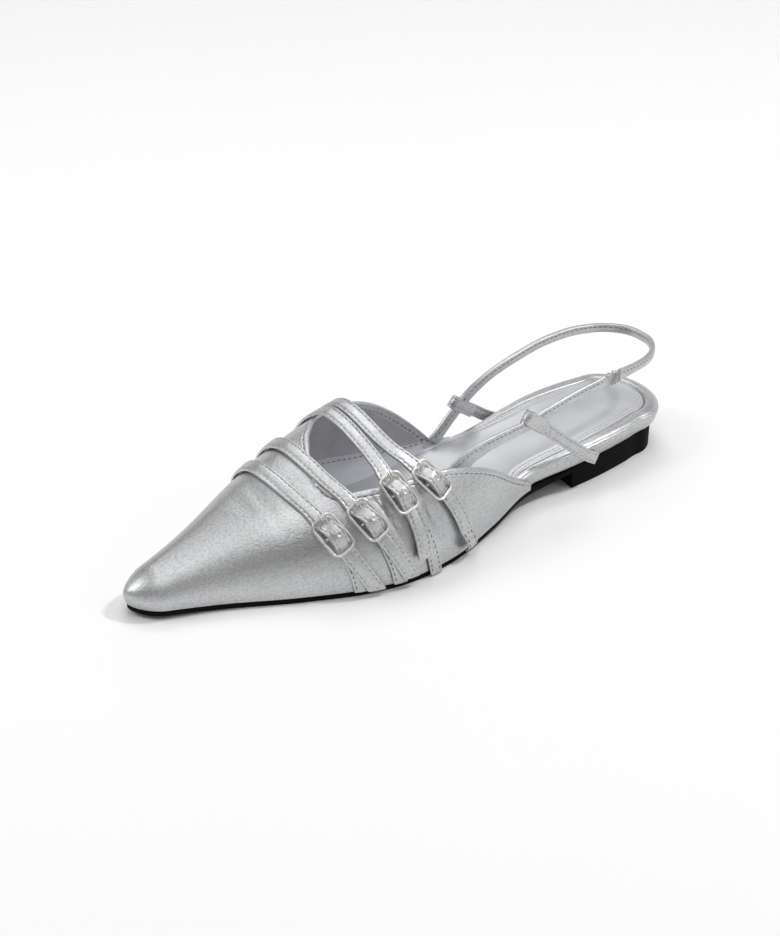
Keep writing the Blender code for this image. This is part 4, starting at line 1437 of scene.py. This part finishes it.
@dataclass(frozen=True)
class InstepStrap:
    """An instep strap from the medial hem over its buckle's bar to its free end, the anchor strap from that
    bar to the lateral hem, the buckle and its prong."""

    last: Last
    finishes: Finishes
    number: int
    strap: Table
    anchor: Table
    buckle_row: float = 7.0
    steps: int = 22
    width: float = 6.2
    thick: float = 1.2
    rest: float = 0.5
    anchor_thick: float = 0.9
    anchor_rest: float = 0.4
    free_rest: float = 1.6
    bar_lift: float = 3.0
    wire: float = 0.57
    bar: float = 0.55  # the room that is kept round the bar's middle line
    bar_wire: float = 0.42
    bar_dip: float = 0.75
    gap: float = 0.3
    buckle_length: float = 18.2
    buckle_width: float = 11.2
    buckle_toeward: float = 1.0
    buckle_corner: float = 2.9
    prong: float = 0.34
    prong_apart: float = 0.46
    hump_reach: float = 7.0
    level_run: float = 8.0
    lift_from: float = 9.0  # how far before the bar the strap starts to rise to its free end's rest
    lift_run: float = 10.0
    slack: float = 0.5
    slack_angle: float = 100.0
    slack_spread: float = 26.0
    slack_end: float = 12.0  # how far before the bar the slack ends
    ripple: float = 0.05
    ripple_run: float = 2.3
    broad: float = 0.8  # how much wider the strap is from its buckle on, all of it towards the toe
    broad_from: float = 15.0  # how far before the bar it starts to widen
    broad_run: float = 7.0
    seam: float = 1.98
    end_seam: float = 1.7  # distance of the seam across the strap from its free end
    anchor_run: float = 8.0  # the length in which the anchor comes down from the bar to the upper
    loop: float = 0.0  # how far the anchor's end stands off as a loop
    loop_run: float = 12.0
    loop_seam: float = 0.72  # where the loop is sewn off, as a share of its run from its end
    stitch: Stitch = Stitch(pitch=2.5, length=1.5)
    # along the strap, out from the bar: the prong on its way through the strap
    prong_line: Table = ((0.9, 0.95), (2.6, 0.3), (4.2, -0.55), (5.4, -0.9), (6.4, -0.4), (7.1, 0.5))
    # radius, height: the rings of a hole's pressed edge, from its eye outwards
    hole_rings: Table = (
        (0.0, -0.1),
        (0.35, -0.1),
        (0.6, -0.08),
        (0.72, 0.0),
        (0.9, 0.07),
        (1.1, 0.06),
        (1.3, 0.0),
        (1.42, -0.3),
        (0.0, -0.3),
    )

    def ribbon(self, station: np.ndarray, angle: np.ndarray, lift: np.ndarray) -> Ribbon:
        """The strap along a line of the last: its edges lie square to its run, and its last few millimetres
        turn level with the hem.

        Args:
            station: Stations of its middle line.
            angle: Angles of its middle line.
            lift: Lift of its underside from the upper.

        Returns:
            The ribbon.
        """
        middle = self.last.point(station, angle, lift)
        along, round_, normal = self.last.ways(station, np.clip(angle, 1, 179), lift)
        square = unit(np.cross(normal, np.gradient(middle, axis=0)))
        level = unit(along) * np.sign((unit(along) * square).sum(1, keepdims=True))
        level = level / np.maximum((level * square).sum(1, keepdims=True), 0.5)
        run = travel(middle)
        turned = ease(1 - (run[-1] - run) / self.level_run)[:, None]
        edge = (square + (level - square) * turned) * self.width / 2
        slopes = np.stack([along, round_], -1)
        crossed = slopes.transpose(0, 2, 1)
        moves = np.linalg.solve(crossed @ slopes, crossed @ edge[..., None])[..., 0]
        return Ribbon(self.last, station, angle, lift, moves, self.width / 2)

    def profile(self, thick: float) -> tuple[np.ndarray, np.ndarray]:
        """The strap's closed section: rolled edges, a pressed channel for each seam and a low crown between.

        Args:
            thick: The strap's thickness.

        Returns:
            Places across and heights.
        """
        half, seam = self.width / 2, -self.seam
        edge = rolled_edge(half, thick, min(0.5, thick * 0.48), 6)
        channel = [(seam - 0.3, 0.0), (seam - 0.14, -0.1), (seam + 0.14, -0.1), (seam + 0.32, 0.02)]
        crown = [(-1.0, 0.06), (0.0, 0.09)]
        left = np.concatenate([edge, np.array(channel + crown) + [0, thick]])
        return np.concatenate([both_halves(left), flat_back(half, 0.1, 0.4, 0.14)]).T

    def buckle_frame(self) -> BuckleFrame:
        """The frame of the buckle on its row of the strap."""
        rows = np.array([self.buckle_row - 1, self.buckle_row, self.buckle_row + 1])
        station, angle = by_row(self.strap, rows)
        before, middle, after = self.last.point(station, angle, self.bar_lift)
        _, _, normal = self.last.ways(station[1], angle[1], self.bar_lift)
        chord = before - after
        up_strap = unit(chord - normal * (chord @ normal))
        return BuckleFrame(middle, up_strap, np.cross(normal, up_strap), normal)

    def strap_ribbon(self) -> tuple[Ribbon, np.ndarray]:
        """The instep strap's ribbon, and the distance of each of its points past the bar."""
        at = row_steps(self.strap, self.steps)
        station, angle = by_row(self.strap, at)
        run = travel(self.last.point(station, angle))
        past = run - np.interp(self.buckle_row, at, run)
        more = self.free_rest - self.rest
        rest = self.rest + more * ease((past + self.lift_from) / self.lift_run)
        over_bar = self.bar_lift + self.bar + self.gap + 0.15
        bar_rest = self.rest + more * float(ease(self.lift_from / self.lift_run))
        hump = (over_bar - bar_rest) * np.clip(1 - (past / self.hump_reach) ** 2, 0, 1) ** 1.5
        slack = self.slack * np.exp(-(((angle - self.slack_angle) / self.slack_spread) ** 2))
        slack += self.ripple * np.sin(run / self.ripple_run + self.number)
        return self.ribbon(station, angle, rest + hump + slack * (past < -self.slack_end)), past

    def build(self) -> None:
        """Builds the strap, its anchor, the buckle, the prong and the seams."""
        ribbon, past = self.strap_ribbon()
        frame = self.buckle_frame()
        across, height = self.profile(self.thick)
        grow = self.broad * ease((past + self.broad_from) / self.broad_run)[:, None]
        sections = ribbon.surface(across * (1 + grow / self.width) - grow / 2, height)
        strap = Form().rod(sections)
        strap.build(f"instep_strap_{self.number}", self.finishes.foil, Slot.FOIL, (f"strap_{self.number}",))
        seams = Form()
        for side in Side:
            at = side.value * self.seam * (1 + grow / self.width) - grow / 2
            seams.copies(self.stitch.row(*ribbon.line(at, self.thick - 0.06), 2.0, 2.4))
        row = int(np.abs(past - past[-1] + self.end_seam).argmin())
        seams.copies(self.stitch.row(*ribbon.cross(row, 1.9, self.thick + 0.02)))
        seams.build(f"strap_stitches_{self.number}", self.finishes.pewter_thread, Slot.FOIL)
        self.build_anchor(frame)
        self.build_buckle(frame)
        self.build_hole(ribbon, past)

    def build_anchor(self, frame: BuckleFrame) -> None:
        """The anchor strap: turned round the buckle's bar and sewn down to the lateral hem.

        Args:
            frame: Where the bar lies.
        """
        station, angle = by_row(self.anchor, row_steps(self.anchor, self.steps))
        run = travel(self.last.point(station, angle))
        under = self.bar_lift - self.bar - self.gap - self.anchor_thick - 0.1
        lift = self.anchor_rest + (under - self.anchor_rest) * ease(1 - run / self.anchor_run)
        end = np.clip((run - run[-1] + self.loop_run) / self.loop_run, 0, 1)
        lift = lift + self.loop * np.sin(0.85 * np.pi * end**1.3) ** 1.5
        ribbon = self.ribbon(station, angle, lift)
        across, height = self.profile(self.anchor_thick)
        sections = ribbon.surface(across, height)
        flip = np.sign((sections[0, 0] - sections[0, len(across) // 2]) @ frame.across) * np.sign(across[0])
        turn = np.radians([70, 55, 40, 25, 10])[:, None]
        reach = self.bar + self.gap + 0.1 + self.anchor_thick - height
        curl = frame.place(reach * np.sin(np.pi / 2 - turn), flip * across, -reach * np.cos(np.pi / 2 - turn))
        strap = Form().rod(np.concatenate([curl, sections]))
        strap.build(f"anchor_strap_{self.number}", self.finishes.foil, Slot.FOIL, (f"anchor_{self.number}",))
        seams = Form()
        for side in Side:
            line = ribbon.line(side.value * self.seam, self.anchor_thick - 0.06)
            seams.copies(self.stitch.row(*line, 6.0, 1.0))
        if self.loop:
            row = int(np.abs(run - run[-1] + self.loop_seam * self.loop_run).argmin())
            seams.copies(self.stitch.row(*ribbon.cross(row, 2.2, self.anchor_thick + 0.02)))
        seams.build(f"anchor_stitches_{self.number}", self.finishes.shade_grey_thread, Slot.FOIL)

    def build_buckle(self, frame: BuckleFrame) -> None:
        """The buckle: a round wire bent to a rounded rectangle with a bar across its middle, and the prong, a
        hairpin whose two tips come out of the strap and lie on the buckle's end.

        Args:
            frame: Where the bar lies.
        """
        half_length = self.buckle_length / 2 - self.wire
        half_width = self.buckle_width / 2 - self.wire
        toeward = math.copysign(self.buckle_toeward, frame.across[0])
        quarter = np.arange(4)[:, None]
        turn = np.radians(np.linspace(0, 90, 14) + 90 * quarter)
        sign_along = np.where((quarter == 0) | (quarter == 3), 1, -1)
        sign_across = np.where(quarter < 2, 1, -1)
        corner = self.buckle_corner
        along = sign_along * (half_length - corner) + corner * np.cos(turn)
        wide = toeward + sign_across * (half_width - corner) + corner * np.sin(turn)
        path = frame.place(along.ravel(), wide.ravel(), 0.0)
        wire = round_bar(path, self.wire, frame.out, 14, ring=True)
        form = Form().grid(np.concatenate([wire, wire[:1]]), closed=True)
        reach = np.linspace(-half_width, half_width, 40)
        free = np.clip((np.abs(reach) - self.width / 2) / (half_width - self.width / 2), 0, 1)
        dip = self.bar_dip * np.sin(np.pi * np.sqrt(free)) + 0.1
        bar = frame.place(0.0, toeward + reach, -dip * (free < 1))
        form.rod(round_bar(bar, self.bar_wire, frame.out, 12))
        nickel = self.finishes.nickel
        form.build(f"buckle_wire_{self.number}", nickel, Slot.NICKEL, (f"buckle_{self.number}",))
        over = self.wire + 0.1 + self.prong
        loop = self.bar + 0.15 + self.prong
        hook = [(loop * math.cos(t), loop * math.sin(t)) for t in np.radians([270, 225, 180, 140, 105])]
        line = (*hook, *self.prong_line, (half_length - 0.5, over), (half_length + 0.9, over - 0.1))
        along, out = by_row(line, row_steps(line, 4))
        thick = self.prong * np.sqrt(np.clip((len(along) - np.arange(len(along))) / 3, 0.1, 1))
        form = Form()
        for side in Side:
            path = frame.place(along, side.value * self.prong_apart, out)
            form.rod(round_bar(path, thick, frame.across, 10))
        form.build(f"prong_wire_{self.number}", nickel, Slot.NICKEL, (f"prong_{self.number}",))

    def build_hole(self, ribbon: Ribbon, past: np.ndarray) -> None:
        """The punched hole of the strap over the bar: a low pressed ring round a dark eye.

        Args:
            ribbon: The strap.
            past: The distance of each of its points past the bar.
        """
        row = int(np.abs(past - 0.6).argmin())
        centre, out = (value[row] for value in ribbon.line(0.0, self.thick + 0.16))
        along, _ = ribbon.line(0.0, self.thick)
        way = unit(along[row + 1] - along[row - 1])
        side = np.cross(out, way)
        turn = np.linspace(0, 2 * np.pi, 24, endpoint=False)
        radius, lift = (values[:, None] for values in np.array(self.hole_rings).T)
        points = (
            centre
            + (radius * np.cos(turn))[..., None] * way * 1.15
            + (radius * np.sin(turn))[..., None] * side
            + (lift + 0 * turn)[..., None] * out
        )
        Form().grid(points, closed=True).build(f"strap_hole_{self.number}", self.finishes.foil, Slot.FOIL)


class Keeper(NamedTuple):
    """A keeper of the slingback: its piece, the CAD node that it replaces, the row of the slingback's line
    where its loop lies, the width of the loop's band, and its leg's middle line as station, across and up."""

    name: str
    node: str
    row: float
    width: float
    leg: Table


@dataclass(frozen=True)
class Slingback:
    """The slingback round the heel in three lengths, with a gathered elastic, and the two keepers that hold
    it."""

    last: Last
    finishes: Finishes
    width: float = 4.0
    thick: float = 2.2
    keeper_thick: float = 0.9
    keeper_width: float = 5.3
    keeper_clear: float = 0.45
    loop_over: float = 0.66  # how far a keeper's loop stands past the slingback, as a share of its width
    steps: int = 14
    keeper_steps: int = 12
    cross_seam: int = 8  # the leg's point where a keeper's loop is sewn off
    fold_pitch: float = 2.0
    fold_sway: float = 4.2  # the run in which the folds lean from one way to the other
    fold_floor: float = 0.42  # the cover's thickness between two folds, as a share of the slingback's
    fold_height: float = 1.5  # what a fold adds to that share
    stitch: Stitch = Stitch(pitch=2.3, length=1.5, width=0.42, height=0.3)
    keeper_stitch: Stitch = Stitch(pitch=2.2, length=1.4, width=0.42, height=0.3)
    # station, across, up, lean of the face from upright, width
    front: Table = (
        (136, 29.6, 28.0, 36, 6.4),
        (128, 29.2, 32.0, 32, 6.4),
        (119, 28.6, 36.6, 22, 6.0),
        (108, 27.6, 39.0, 12, 5.4),
        (96, 26.3, 39.8, 5, 5.0),
        (86, 25.0, 40.0, 2, 4.8),
        (74, 23.8, 41.8, 0, 4.8),
        (64, 22.9, 43.3, 0, 4.8),
        (53, 22.0, 44.7, 0, 4.8),
        (46, 21.5, 45.2, 0, 4.8),
        (41.5, 21.1, 45.5, 0, 5.3),
    )
    elastic: Table = ((41.1, 21.1, 45.5, 0, 4.8), (37, 20.7, 45.6, 0, 4.8), (33, 20.2, 45.6, 0, 4.8))
    heel: Table = (
        (32.6, 20.15, 45.6, 0, 5.4),
        (28, 19.4, 45.5, 0, 4.7),
        (22, 18.2, 45.4, 0, 4.1),
        (14.5, 16.0, 45.2, 0, 4.0),
        (8, 12.1, 45.0, 0, 4.0),
        (3, 6.6, 44.9, 0, 4.0),
        (0.6, -0.6, 44.9, 0, 4.0),
        (0.9, -7.4, 44.9, 0, 4.0),
        (3.8, -14.0, 45.0, 0, 4.0),
        (9.6, -19.2, 45.2, 0, 4.0),
        (17, -22.0, 45.6, 0, 4.0),
        (28, -23.2, 46.1, 0, 4.0),
        (41, -22.8, 45.8, 0, 4.0),
        (54, -22.2, 43.7, 0, 4.0),
        (65, -21.8, 41.0, 0, 4.0),
        (74, -21.8, 37.4, 0, 4.2),
        (82, -22.3, 32.2, 4, 4.8),
        (90, -23.0, 24.2, 8, 5.4),
        (96, -23.5, 17.6, 8, 5.6),
        (99.5, -23.9, 14.2, 8, 5.6),
    )
    lateral_keeper: Keeper = Keeper(
        "lateral_keeper_loop",
        "keeper_lateral",
        5.35,
        6.6,
        ((77.4, 25.4, 36.6), (70, 27.0, 29.6), (60, 28.1, 20.8), (55, 27.9, 16.6), (49.6, 27.2, 13.0)),
    )
    medial_keeper: Keeper = Keeper(
        "medial_keeper_loop",
        "keeper_medial",
        16.49,
        5.4,
        ((80.6, -25.2, 24.4), (75, -26.4, 20.3), (68, -26.5, 15.4), (61.5, -26.7, 11.8)),
    )

    @staticmethod
    def ways(middle: np.ndarray, lean: np.ndarray) -> tuple[np.ndarray, np.ndarray, np.ndarray]:
        """The ways along a free strap's middle line, out from the foot and up its width.

        Args:
            middle: Points of the middle line.
            lean: Lean of the face from upright, in degrees.

        Returns:
            The three ways at each point.
        """
        along = unit(np.gradient(middle, axis=0))
        level = unit(np.cross(along, np.broadcast_to([0.0, 0.0, 1.0], along.shape)))
        rising = np.cross(level, along)
        tilt = np.radians(lean)[:, None]
        out = np.cos(tilt) * level + np.sin(tilt) * rising
        return along, out, np.cross(out, along)

    def run(self, table: Table, steps: int) -> tuple[np.ndarray, np.ndarray, np.ndarray, np.ndarray]:
        """The middle line of a free strap, its ways out from the foot and up its width, and its width as a
        share of the slingback's own.

        Args:
            table: The strap's rows.
            steps: Steps between two rows.

        Returns:
            The four arrays, a row for each point.
        """
        station, across, up, lean, width = by_row(table, row_steps(table, steps))
        middle = self.last.place(station, across, up)
        _, out, wide = self.ways(middle, lean)
        return middle, out, wide, width[:, None] / self.width

    def profile(self) -> tuple[np.ndarray, np.ndarray]:
        """The strap's closed section as places out from the foot and up its width: round edges, and a pressed
        channel for the seam near the top of both faces."""
        half_out, half_up, roll = self.thick / 2, self.width / 2, 0.62
        turn = np.radians(np.linspace(0, 90, 6))
        top = np.stack([half_out - roll + roll * np.cos(turn), half_up - roll + roll * np.sin(turn)], -1)
        channel = np.array([(0, -0.3), (0, 0.45), (-0.13, 0.62), (-0.13, 0.78), (0, 0.98)])
        low = top[::-1] * [1, -1]
        right = np.concatenate([low, channel + [half_out, 0], top])
        return np.concatenate([right, right[::-1] * [-1, 1]]).T

    def band(self, name: str, node: str, table: Table) -> None:
        """A length of the slingback, with its seams.

        Args:
            name: The piece's name.
            node: The CAD node that it replaces.
            table: Its middle line.
        """
        middle, out, wide, width = self.run(table, self.steps)
        across, up = self.profile()
        thin = width**-0.6
        strap = Form().rod(carried(middle, out, across * thin, wide, up * width))
        strap.build(name, self.finishes.foil, Slot.FOIL, (node,))
        seams = Form()
        for face in (1, -1):
            path = middle + face * (self.thick / 2 * thin - 0.08) * out + 0.7 * width * wide
            seams.copies(self.stitch.row(path, face * out, 1.0, 1.0))
        seams.build(f"{name}_stitches", self.finishes.shade_grey_thread, Slot.FOIL)

    def gathered(self) -> None:
        """The elastic length: its cover is gathered in folds that stand square to its run, each a ridge of
        |cos| over the run whose phase leans to and fro up the face."""
        middle, out, wide, width = self.run(self.elastic, 90)
        run = travel(middle)[:, None]
        share = np.clip(np.sin(np.pi * run / run[-1]), 0, 1) ** 0.5
        across, up = self.profile()
        lean = 0.4 * up * np.sin(np.pi * run / self.fold_sway + 0.6) + 0.3 * np.sin(up * 3.1)
        fold = 1 - np.abs(np.cos(np.pi * run / self.fold_pitch + lean)) ** 0.8
        thick = across * (self.fold_floor + self.fold_height * fold * share)
        high = up * width * (0.86 + (0.12 + 0.2 * fold) * share)
        cover = Form().rod(carried(middle, out, thick, wide, high))
        cover.build("gathered_elastic", self.finishes.foil, Slot.FOIL, ("sling_elastic",))

    def keeper_loop(self, table: Table, keeper: Keeper, start: np.ndarray) -> tuple[np.ndarray, np.ndarray]:
        """A keeper's long flat loop round the slingback, in line with its leg.

        Args:
            table: The middle line of the length that it holds.
            keeper: The keeper.
            start: Where its leg starts.

        Returns:
            Sections of the loop by points, and the slingback's way out there.
        """
        spot = round(keeper.row * self.keeper_steps)
        middle, out, _, _ = (value[spot] for value in self.run(table, self.keeper_steps))
        down = start - middle
        down = unit(down - out * (down @ out))
        side = np.cross(out, down)
        top, low = -self.loop_over * keeper.width, float((start - middle) @ down)
        turn = np.radians(np.linspace(0, 180, 11))
        bend = (self.thick / 2 + self.keeper_clear) * np.stack([np.sin(turn), np.cos(turn)], -1)
        lie, lift = np.concatenate([[low, 0] + bend * [0.45, 1], [top, 0] - bend]).T
        path = middle + lie[:, None] * down + lift[:, None] * out
        sides = np.broadcast_to(side, path.shape)
        outward = unit(np.cross(np.roll(path, -1, 0) - np.roll(path, 1, 0), sides))
        outward = outward * np.sign((outward * (path - middle - down * (low + top) / 2)).sum(1).mean())
        half = keeper.width / 2
        face = both_halves(self.keeper_face(half, self.keeper_thick))
        places, heights = np.concatenate([face, flat_back(half, 0.05, 0.3, 0.12)]).T
        return carried(path, outward, heights, sides, places), out

    def keeper(self, table: Table, keeper: Keeper) -> None:
        """A keeper: its loop, and its leg, a doubled band down to the outsole.

        Args:
            table: The middle line of the length that it holds.
            keeper: The keeper.
        """
        knots = self.last.place(*np.array(keeper.leg, float).T)
        loop, out = self.keeper_loop(table, keeper, knots[0])
        leg = np.stack(by_row(knots, np.linspace(0, len(knots) - 1, 90)), -1)
        way, leg_out, _ = self.ways(leg, np.zeros(len(leg)))
        leg_out = leg_out * np.sign((leg_out @ out).sum())
        square = np.cross(leg_out, way)
        half, thick = self.keeper_width / 2, self.keeper_thick * 0.8
        places, heights = self.doubled_profile(half, thick)
        form = Form().grid(np.concatenate([loop, loop[:1]]), closed=True)
        form.rod(carried(leg, leg_out, heights, square, places), 0.15)
        form.build(keeper.name, self.finishes.foil, Slot.FOIL, (keeper.node,))
        seams = Form()
        for edge in Side:
            for face in Side:
                row = leg + face.value * (thick - 0.02) * leg_out + edge.value * (half - 1.1) * square
                seams.copies(self.keeper_stitch.row(row, face.value * leg_out, 1.5, 1.0))
        step, across = self.cross_seam, np.linspace(-half + 0.5, half - 0.5, 12)[:, None]
        for face in Side:
            over = face.value * leg_out[step]
            row = leg[step] + (thick + 0.06) * over + across * square[step]
            seams.copies(self.keeper_stitch.row(row, np.broadcast_to(over, row.shape)))
        seams.build(f"{keeper.name}_stitches", self.finishes.pewter_thread, Slot.FOIL)

    @staticmethod
    def keeper_face(half: float, thick: float) -> np.ndarray:
        """The left half of a keeper band's face: a rolled edge, the channel of its seam and a low crown."""
        channel = np.array([(0.85, 0.0), (1.05, -0.1), (1.25, 0.0), (half, 0.08)])
        return np.concatenate([rolled_edge(half, thick, thick * 0.42, 5), channel + [-half, thick]])

    def doubled_profile(self, half: float, thick: float) -> tuple[np.ndarray, np.ndarray]:
        """The closed section of two bands laid back to back, with a nick between their edges.

        Args:
            half: Half the bands' width.
            thick: One band's thickness.

        Returns:
            Places across and heights.
        """
        nick = np.array([(-half + 0.35, 0.0), (-half + 0.05, 0.16)])
        top = both_halves(np.concatenate([nick, self.keeper_face(half, thick)]))
        return np.concatenate([top, (top * [1, -1])[-2:0:-1]]).T

    def build(self) -> None:
        """Builds the three lengths and the two keepers."""
        self.band("sling_lateral_strap", "sling_lateral", self.front)
        self.gathered()
        self.band("sling_heel_strap", "sling_heel", self.heel)
        self.keeper(self.front, self.lateral_keeper)
        self.keeper(self.heel, self.medial_keeper)


class Lobe(NamedTuple):
    """A brighter side of the room near its horizon: the way to it, and its radiance there."""

    way: tuple[float, float, float]
    glow: float


class Softbox(NamedTuple):
    """A softbox: its name, where it stands in metres, its width and height, and its radiance."""

    name: str
    spot: tuple[float, float, float]
    size: tuple[float, float]
    glow: float


@dataclass(frozen=True)
class Studio:
    """The white floor, the soft light and the camera."""

    azimuth: float = 145.0
    elevation: float = 30.0
    distance: float = 1.2
    aim: tuple[float, float, float] = (-0.0192848, -0.0412132, 0.0)
    lens: float = 105.23
    sensor: float = 36.0
    sky: float = 0.2
    lobes: tuple[Lobe, ...] = (
        Lobe((-0.574, -0.819, 0.0), 1.15),
        Lobe((0.574, 0.819, 0.0), 0.8),
        Lobe((-0.995, 0.1, 0.0), 0.64),
    )
    boxes: tuple[Softbox, ...] = (
        Softbox("top_softbox", (0.0, 0.0, 1.6), (1.0, 1.0), 1.0),
        Softbox("near_softbox", (0.36, 0.47, 1.5), (0.8, 0.8), 1.5),
        Softbox("far_softbox", (-0.38, -0.78, 1.4), (0.9, 0.7), 3.1),
        Softbox("toe_softbox", (0.96, -0.58, 0.83), (0.66, 0.66), 4.0),
        Softbox("side_softbox", (-0.72, 1.03, 0.75), (0.8, 0.8), 1.1),
        Softbox("key_light", (-0.9, 0.42, 1.38), (0.18, 0.18), 88.0),
    )

    def build(self) -> None:
        """Builds the floor, the light and the camera."""
        self.build_floor()
        self.build_light()
        self.build_camera()

    def build_floor(self) -> None:
        """A wide sheet of matt white card."""
        mesh = bpy.data.meshes.new("floor")
        mesh.from_pydata([(-5, -5, 0), (5, -5, 0), (5, 5, 0), (-5, 5, 0)], [], [(0, 1, 2, 3)])
        mesh.materials.append(WhiteCard().material())
        floor = bpy.data.objects.new("floor", mesh)
        bpy.context.scene.collection.objects.link(floor)

    def build_light(self) -> None:
        """A white room whose horizon is brighter on some sides than on others, and softboxes that face the
        shoe. A softbox's power is pi * width * height * radiance."""
        world = bpy.data.worlds.new("white_studio")
        bpy.context.scene.world = world
        world.use_nodes = True
        tree = world.node_tree
        tree.nodes.clear()
        way = add_node(tree, "ShaderNodeTexCoord", {}).outputs["Generated"]
        up = add_node(tree, "ShaderNodeSeparateXYZ", {"Vector": way}).outputs["Z"]
        span = {"Value": up, "From Min": 0.1, "From Max": 0.6}
        smooth = {"interpolation_type": "SMOOTHSTEP"}
        low = add_node(tree, "ShaderNodeMapRange", {**span, "To Min": 1.0, "To Max": 0.0}, **smooth)
        total = add_node(tree, "ShaderNodeMapRange", {**span, "To Max": self.sky}, **smooth).outputs["Result"]
        for lobe in self.lobes:
            facing = add_node(tree, "ShaderNodeVectorMath", {0: way, 1: lobe.way}, operation="DOT_PRODUCT")
            share = add_node(
                tree,
                "ShaderNodeMapRange",
                {"Value": facing.outputs["Value"], "From Min": 0.1, "From Max": 0.9, "To Max": lobe.glow},
            )
            total = add_node(
                tree,
                "ShaderNodeMath",
                {0: share.outputs["Result"], 1: low.outputs["Result"], 2: total},
                operation="MULTIPLY_ADD",
            ).outputs["Value"]
        room = add_node(tree, "ShaderNodeBackground", {"Strength": total})
        add_node(tree, "ShaderNodeOutputWorld", {"Surface": room.outputs["Background"]})
        for box in self.boxes:
            lamp = bpy.data.lights.new(box.name, "AREA")
            lamp.shape = "RECTANGLE"
            lamp.size, lamp.size_y = box.size
            lamp.energy = math.pi * box.size[0] * box.size[1] * box.glow
            stand = bpy.data.objects.new(box.name, lamp)
            stand.location = box.spot
            stand.rotation_euler = (Vector(self.aim) - Vector(box.spot)).to_track_quat("-Z", "Y").to_euler()
            bpy.context.scene.collection.objects.link(stand)
        bpy.context.scene.view_settings.view_transform = "Standard"

    def build_camera(self) -> None:
        """The camera at the photograph's angle."""
        turn, rise = math.radians(self.azimuth), math.radians(self.elevation)
        back = np.array([math.sin(turn) * math.cos(rise), -math.cos(turn) * math.cos(rise), math.sin(rise)])
        data = bpy.data.cameras.new("photo_camera")
        data.lens, data.sensor_width, data.sensor_fit = self.lens, self.sensor, "AUTO"
        camera = bpy.data.objects.new("photo_camera", data)
        camera.location = np.array(self.aim) + self.distance * back
        camera.rotation_euler = (math.pi / 2 - rise, 0.0, turn)
        bpy.context.scene.collection.objects.link(camera)
        bpy.context.scene.camera = camera


# The four straps, each with its anchor, as rows of station and angle: a strap from the medial hem to its free
# end, an anchor from the buckle's bar to the lateral hem
STRAPS: tuple[tuple[Table, Table], ...] = (
    (
        (
            (193.5, 177),
            (197.5, 150),
            (199.8, 122),
            (200.2, 98),
            (199.2, 77),
            (197.0, 61),
            (193.2, 46),
            (190.4, 35.6),
            (187.4, 24.8),
            (183.2, 13),
            (177.9, 0.4),
        ),
        ((190.4, 35.6), (187.6, 24.8), (185.6, 13), (183.8, 0.2)),
    ),
    (
        (
            (180.5, 177),
            (183.6, 150),
            (185.4, 122),
            (185.8, 98),
            (185.0, 76),
            (183.2, 61.5),
            (178.8, 46),
            (175.6, 36.4),
            (172.2, 26.6),
            (167.4, 14.5),
            (162.4, 2.4),
        ),
        ((175.6, 36.4), (172.4, 26.6), (169.6, 14), (167.0, 0.2)),
    ),
    (
        (
            (166.5, 177),
            (165.4, 150),
            (163.4, 118),
            (161.9, 95),
            (161.9, 77),
            (161.7, 64),
            (160.8, 50),
            (159.2, 41.2),
            (157.2, 32.4),
            (155.8, 21),
            (155.4, 9.4),
        ),
        ((159.2, 41.2), (156.8, 31.5), (152.6, 16), (148.8, -2.0)),
    ),
    (
        (
            (158.0, 177),
            (157.2, 150),
            (155.9, 118),
            (155.1, 95),
            (154.9, 73),
            (152.8, 59.5),
            (147.4, 47.6),
            (143.2, 39.4),
            (138.9, 31.2),
            (134.4, 20),
            (131.2, 10.4),
        ),
        ((143.2, 39.4), (138.9, 31.2), (133.0, 15), (128.9, 1.0)),
    ),
)

LAST_LOOP = 3.4  # how far the last anchor's end stands off as a loop


def main() -> None:
    """Builds the shoe's classes in order."""
    logging.basicConfig(level=logging.INFO, format="%(name)s %(message)s")
    last, finishes = Last(), Finishes()
    Studio().build()
    sole = Sole(last, finishes)
    sole.build()
    Upper(last, finishes, sole).build()
    for number, (strap, anchor) in enumerate(STRAPS, start=1):
        loop = LAST_LOOP if number == len(STRAPS) else 0.0
        InstepStrap(last, finishes, number, strap, anchor, loop=loop).build()
    Slingback(last, finishes).build()


if __name__ == "__main__":
    main()
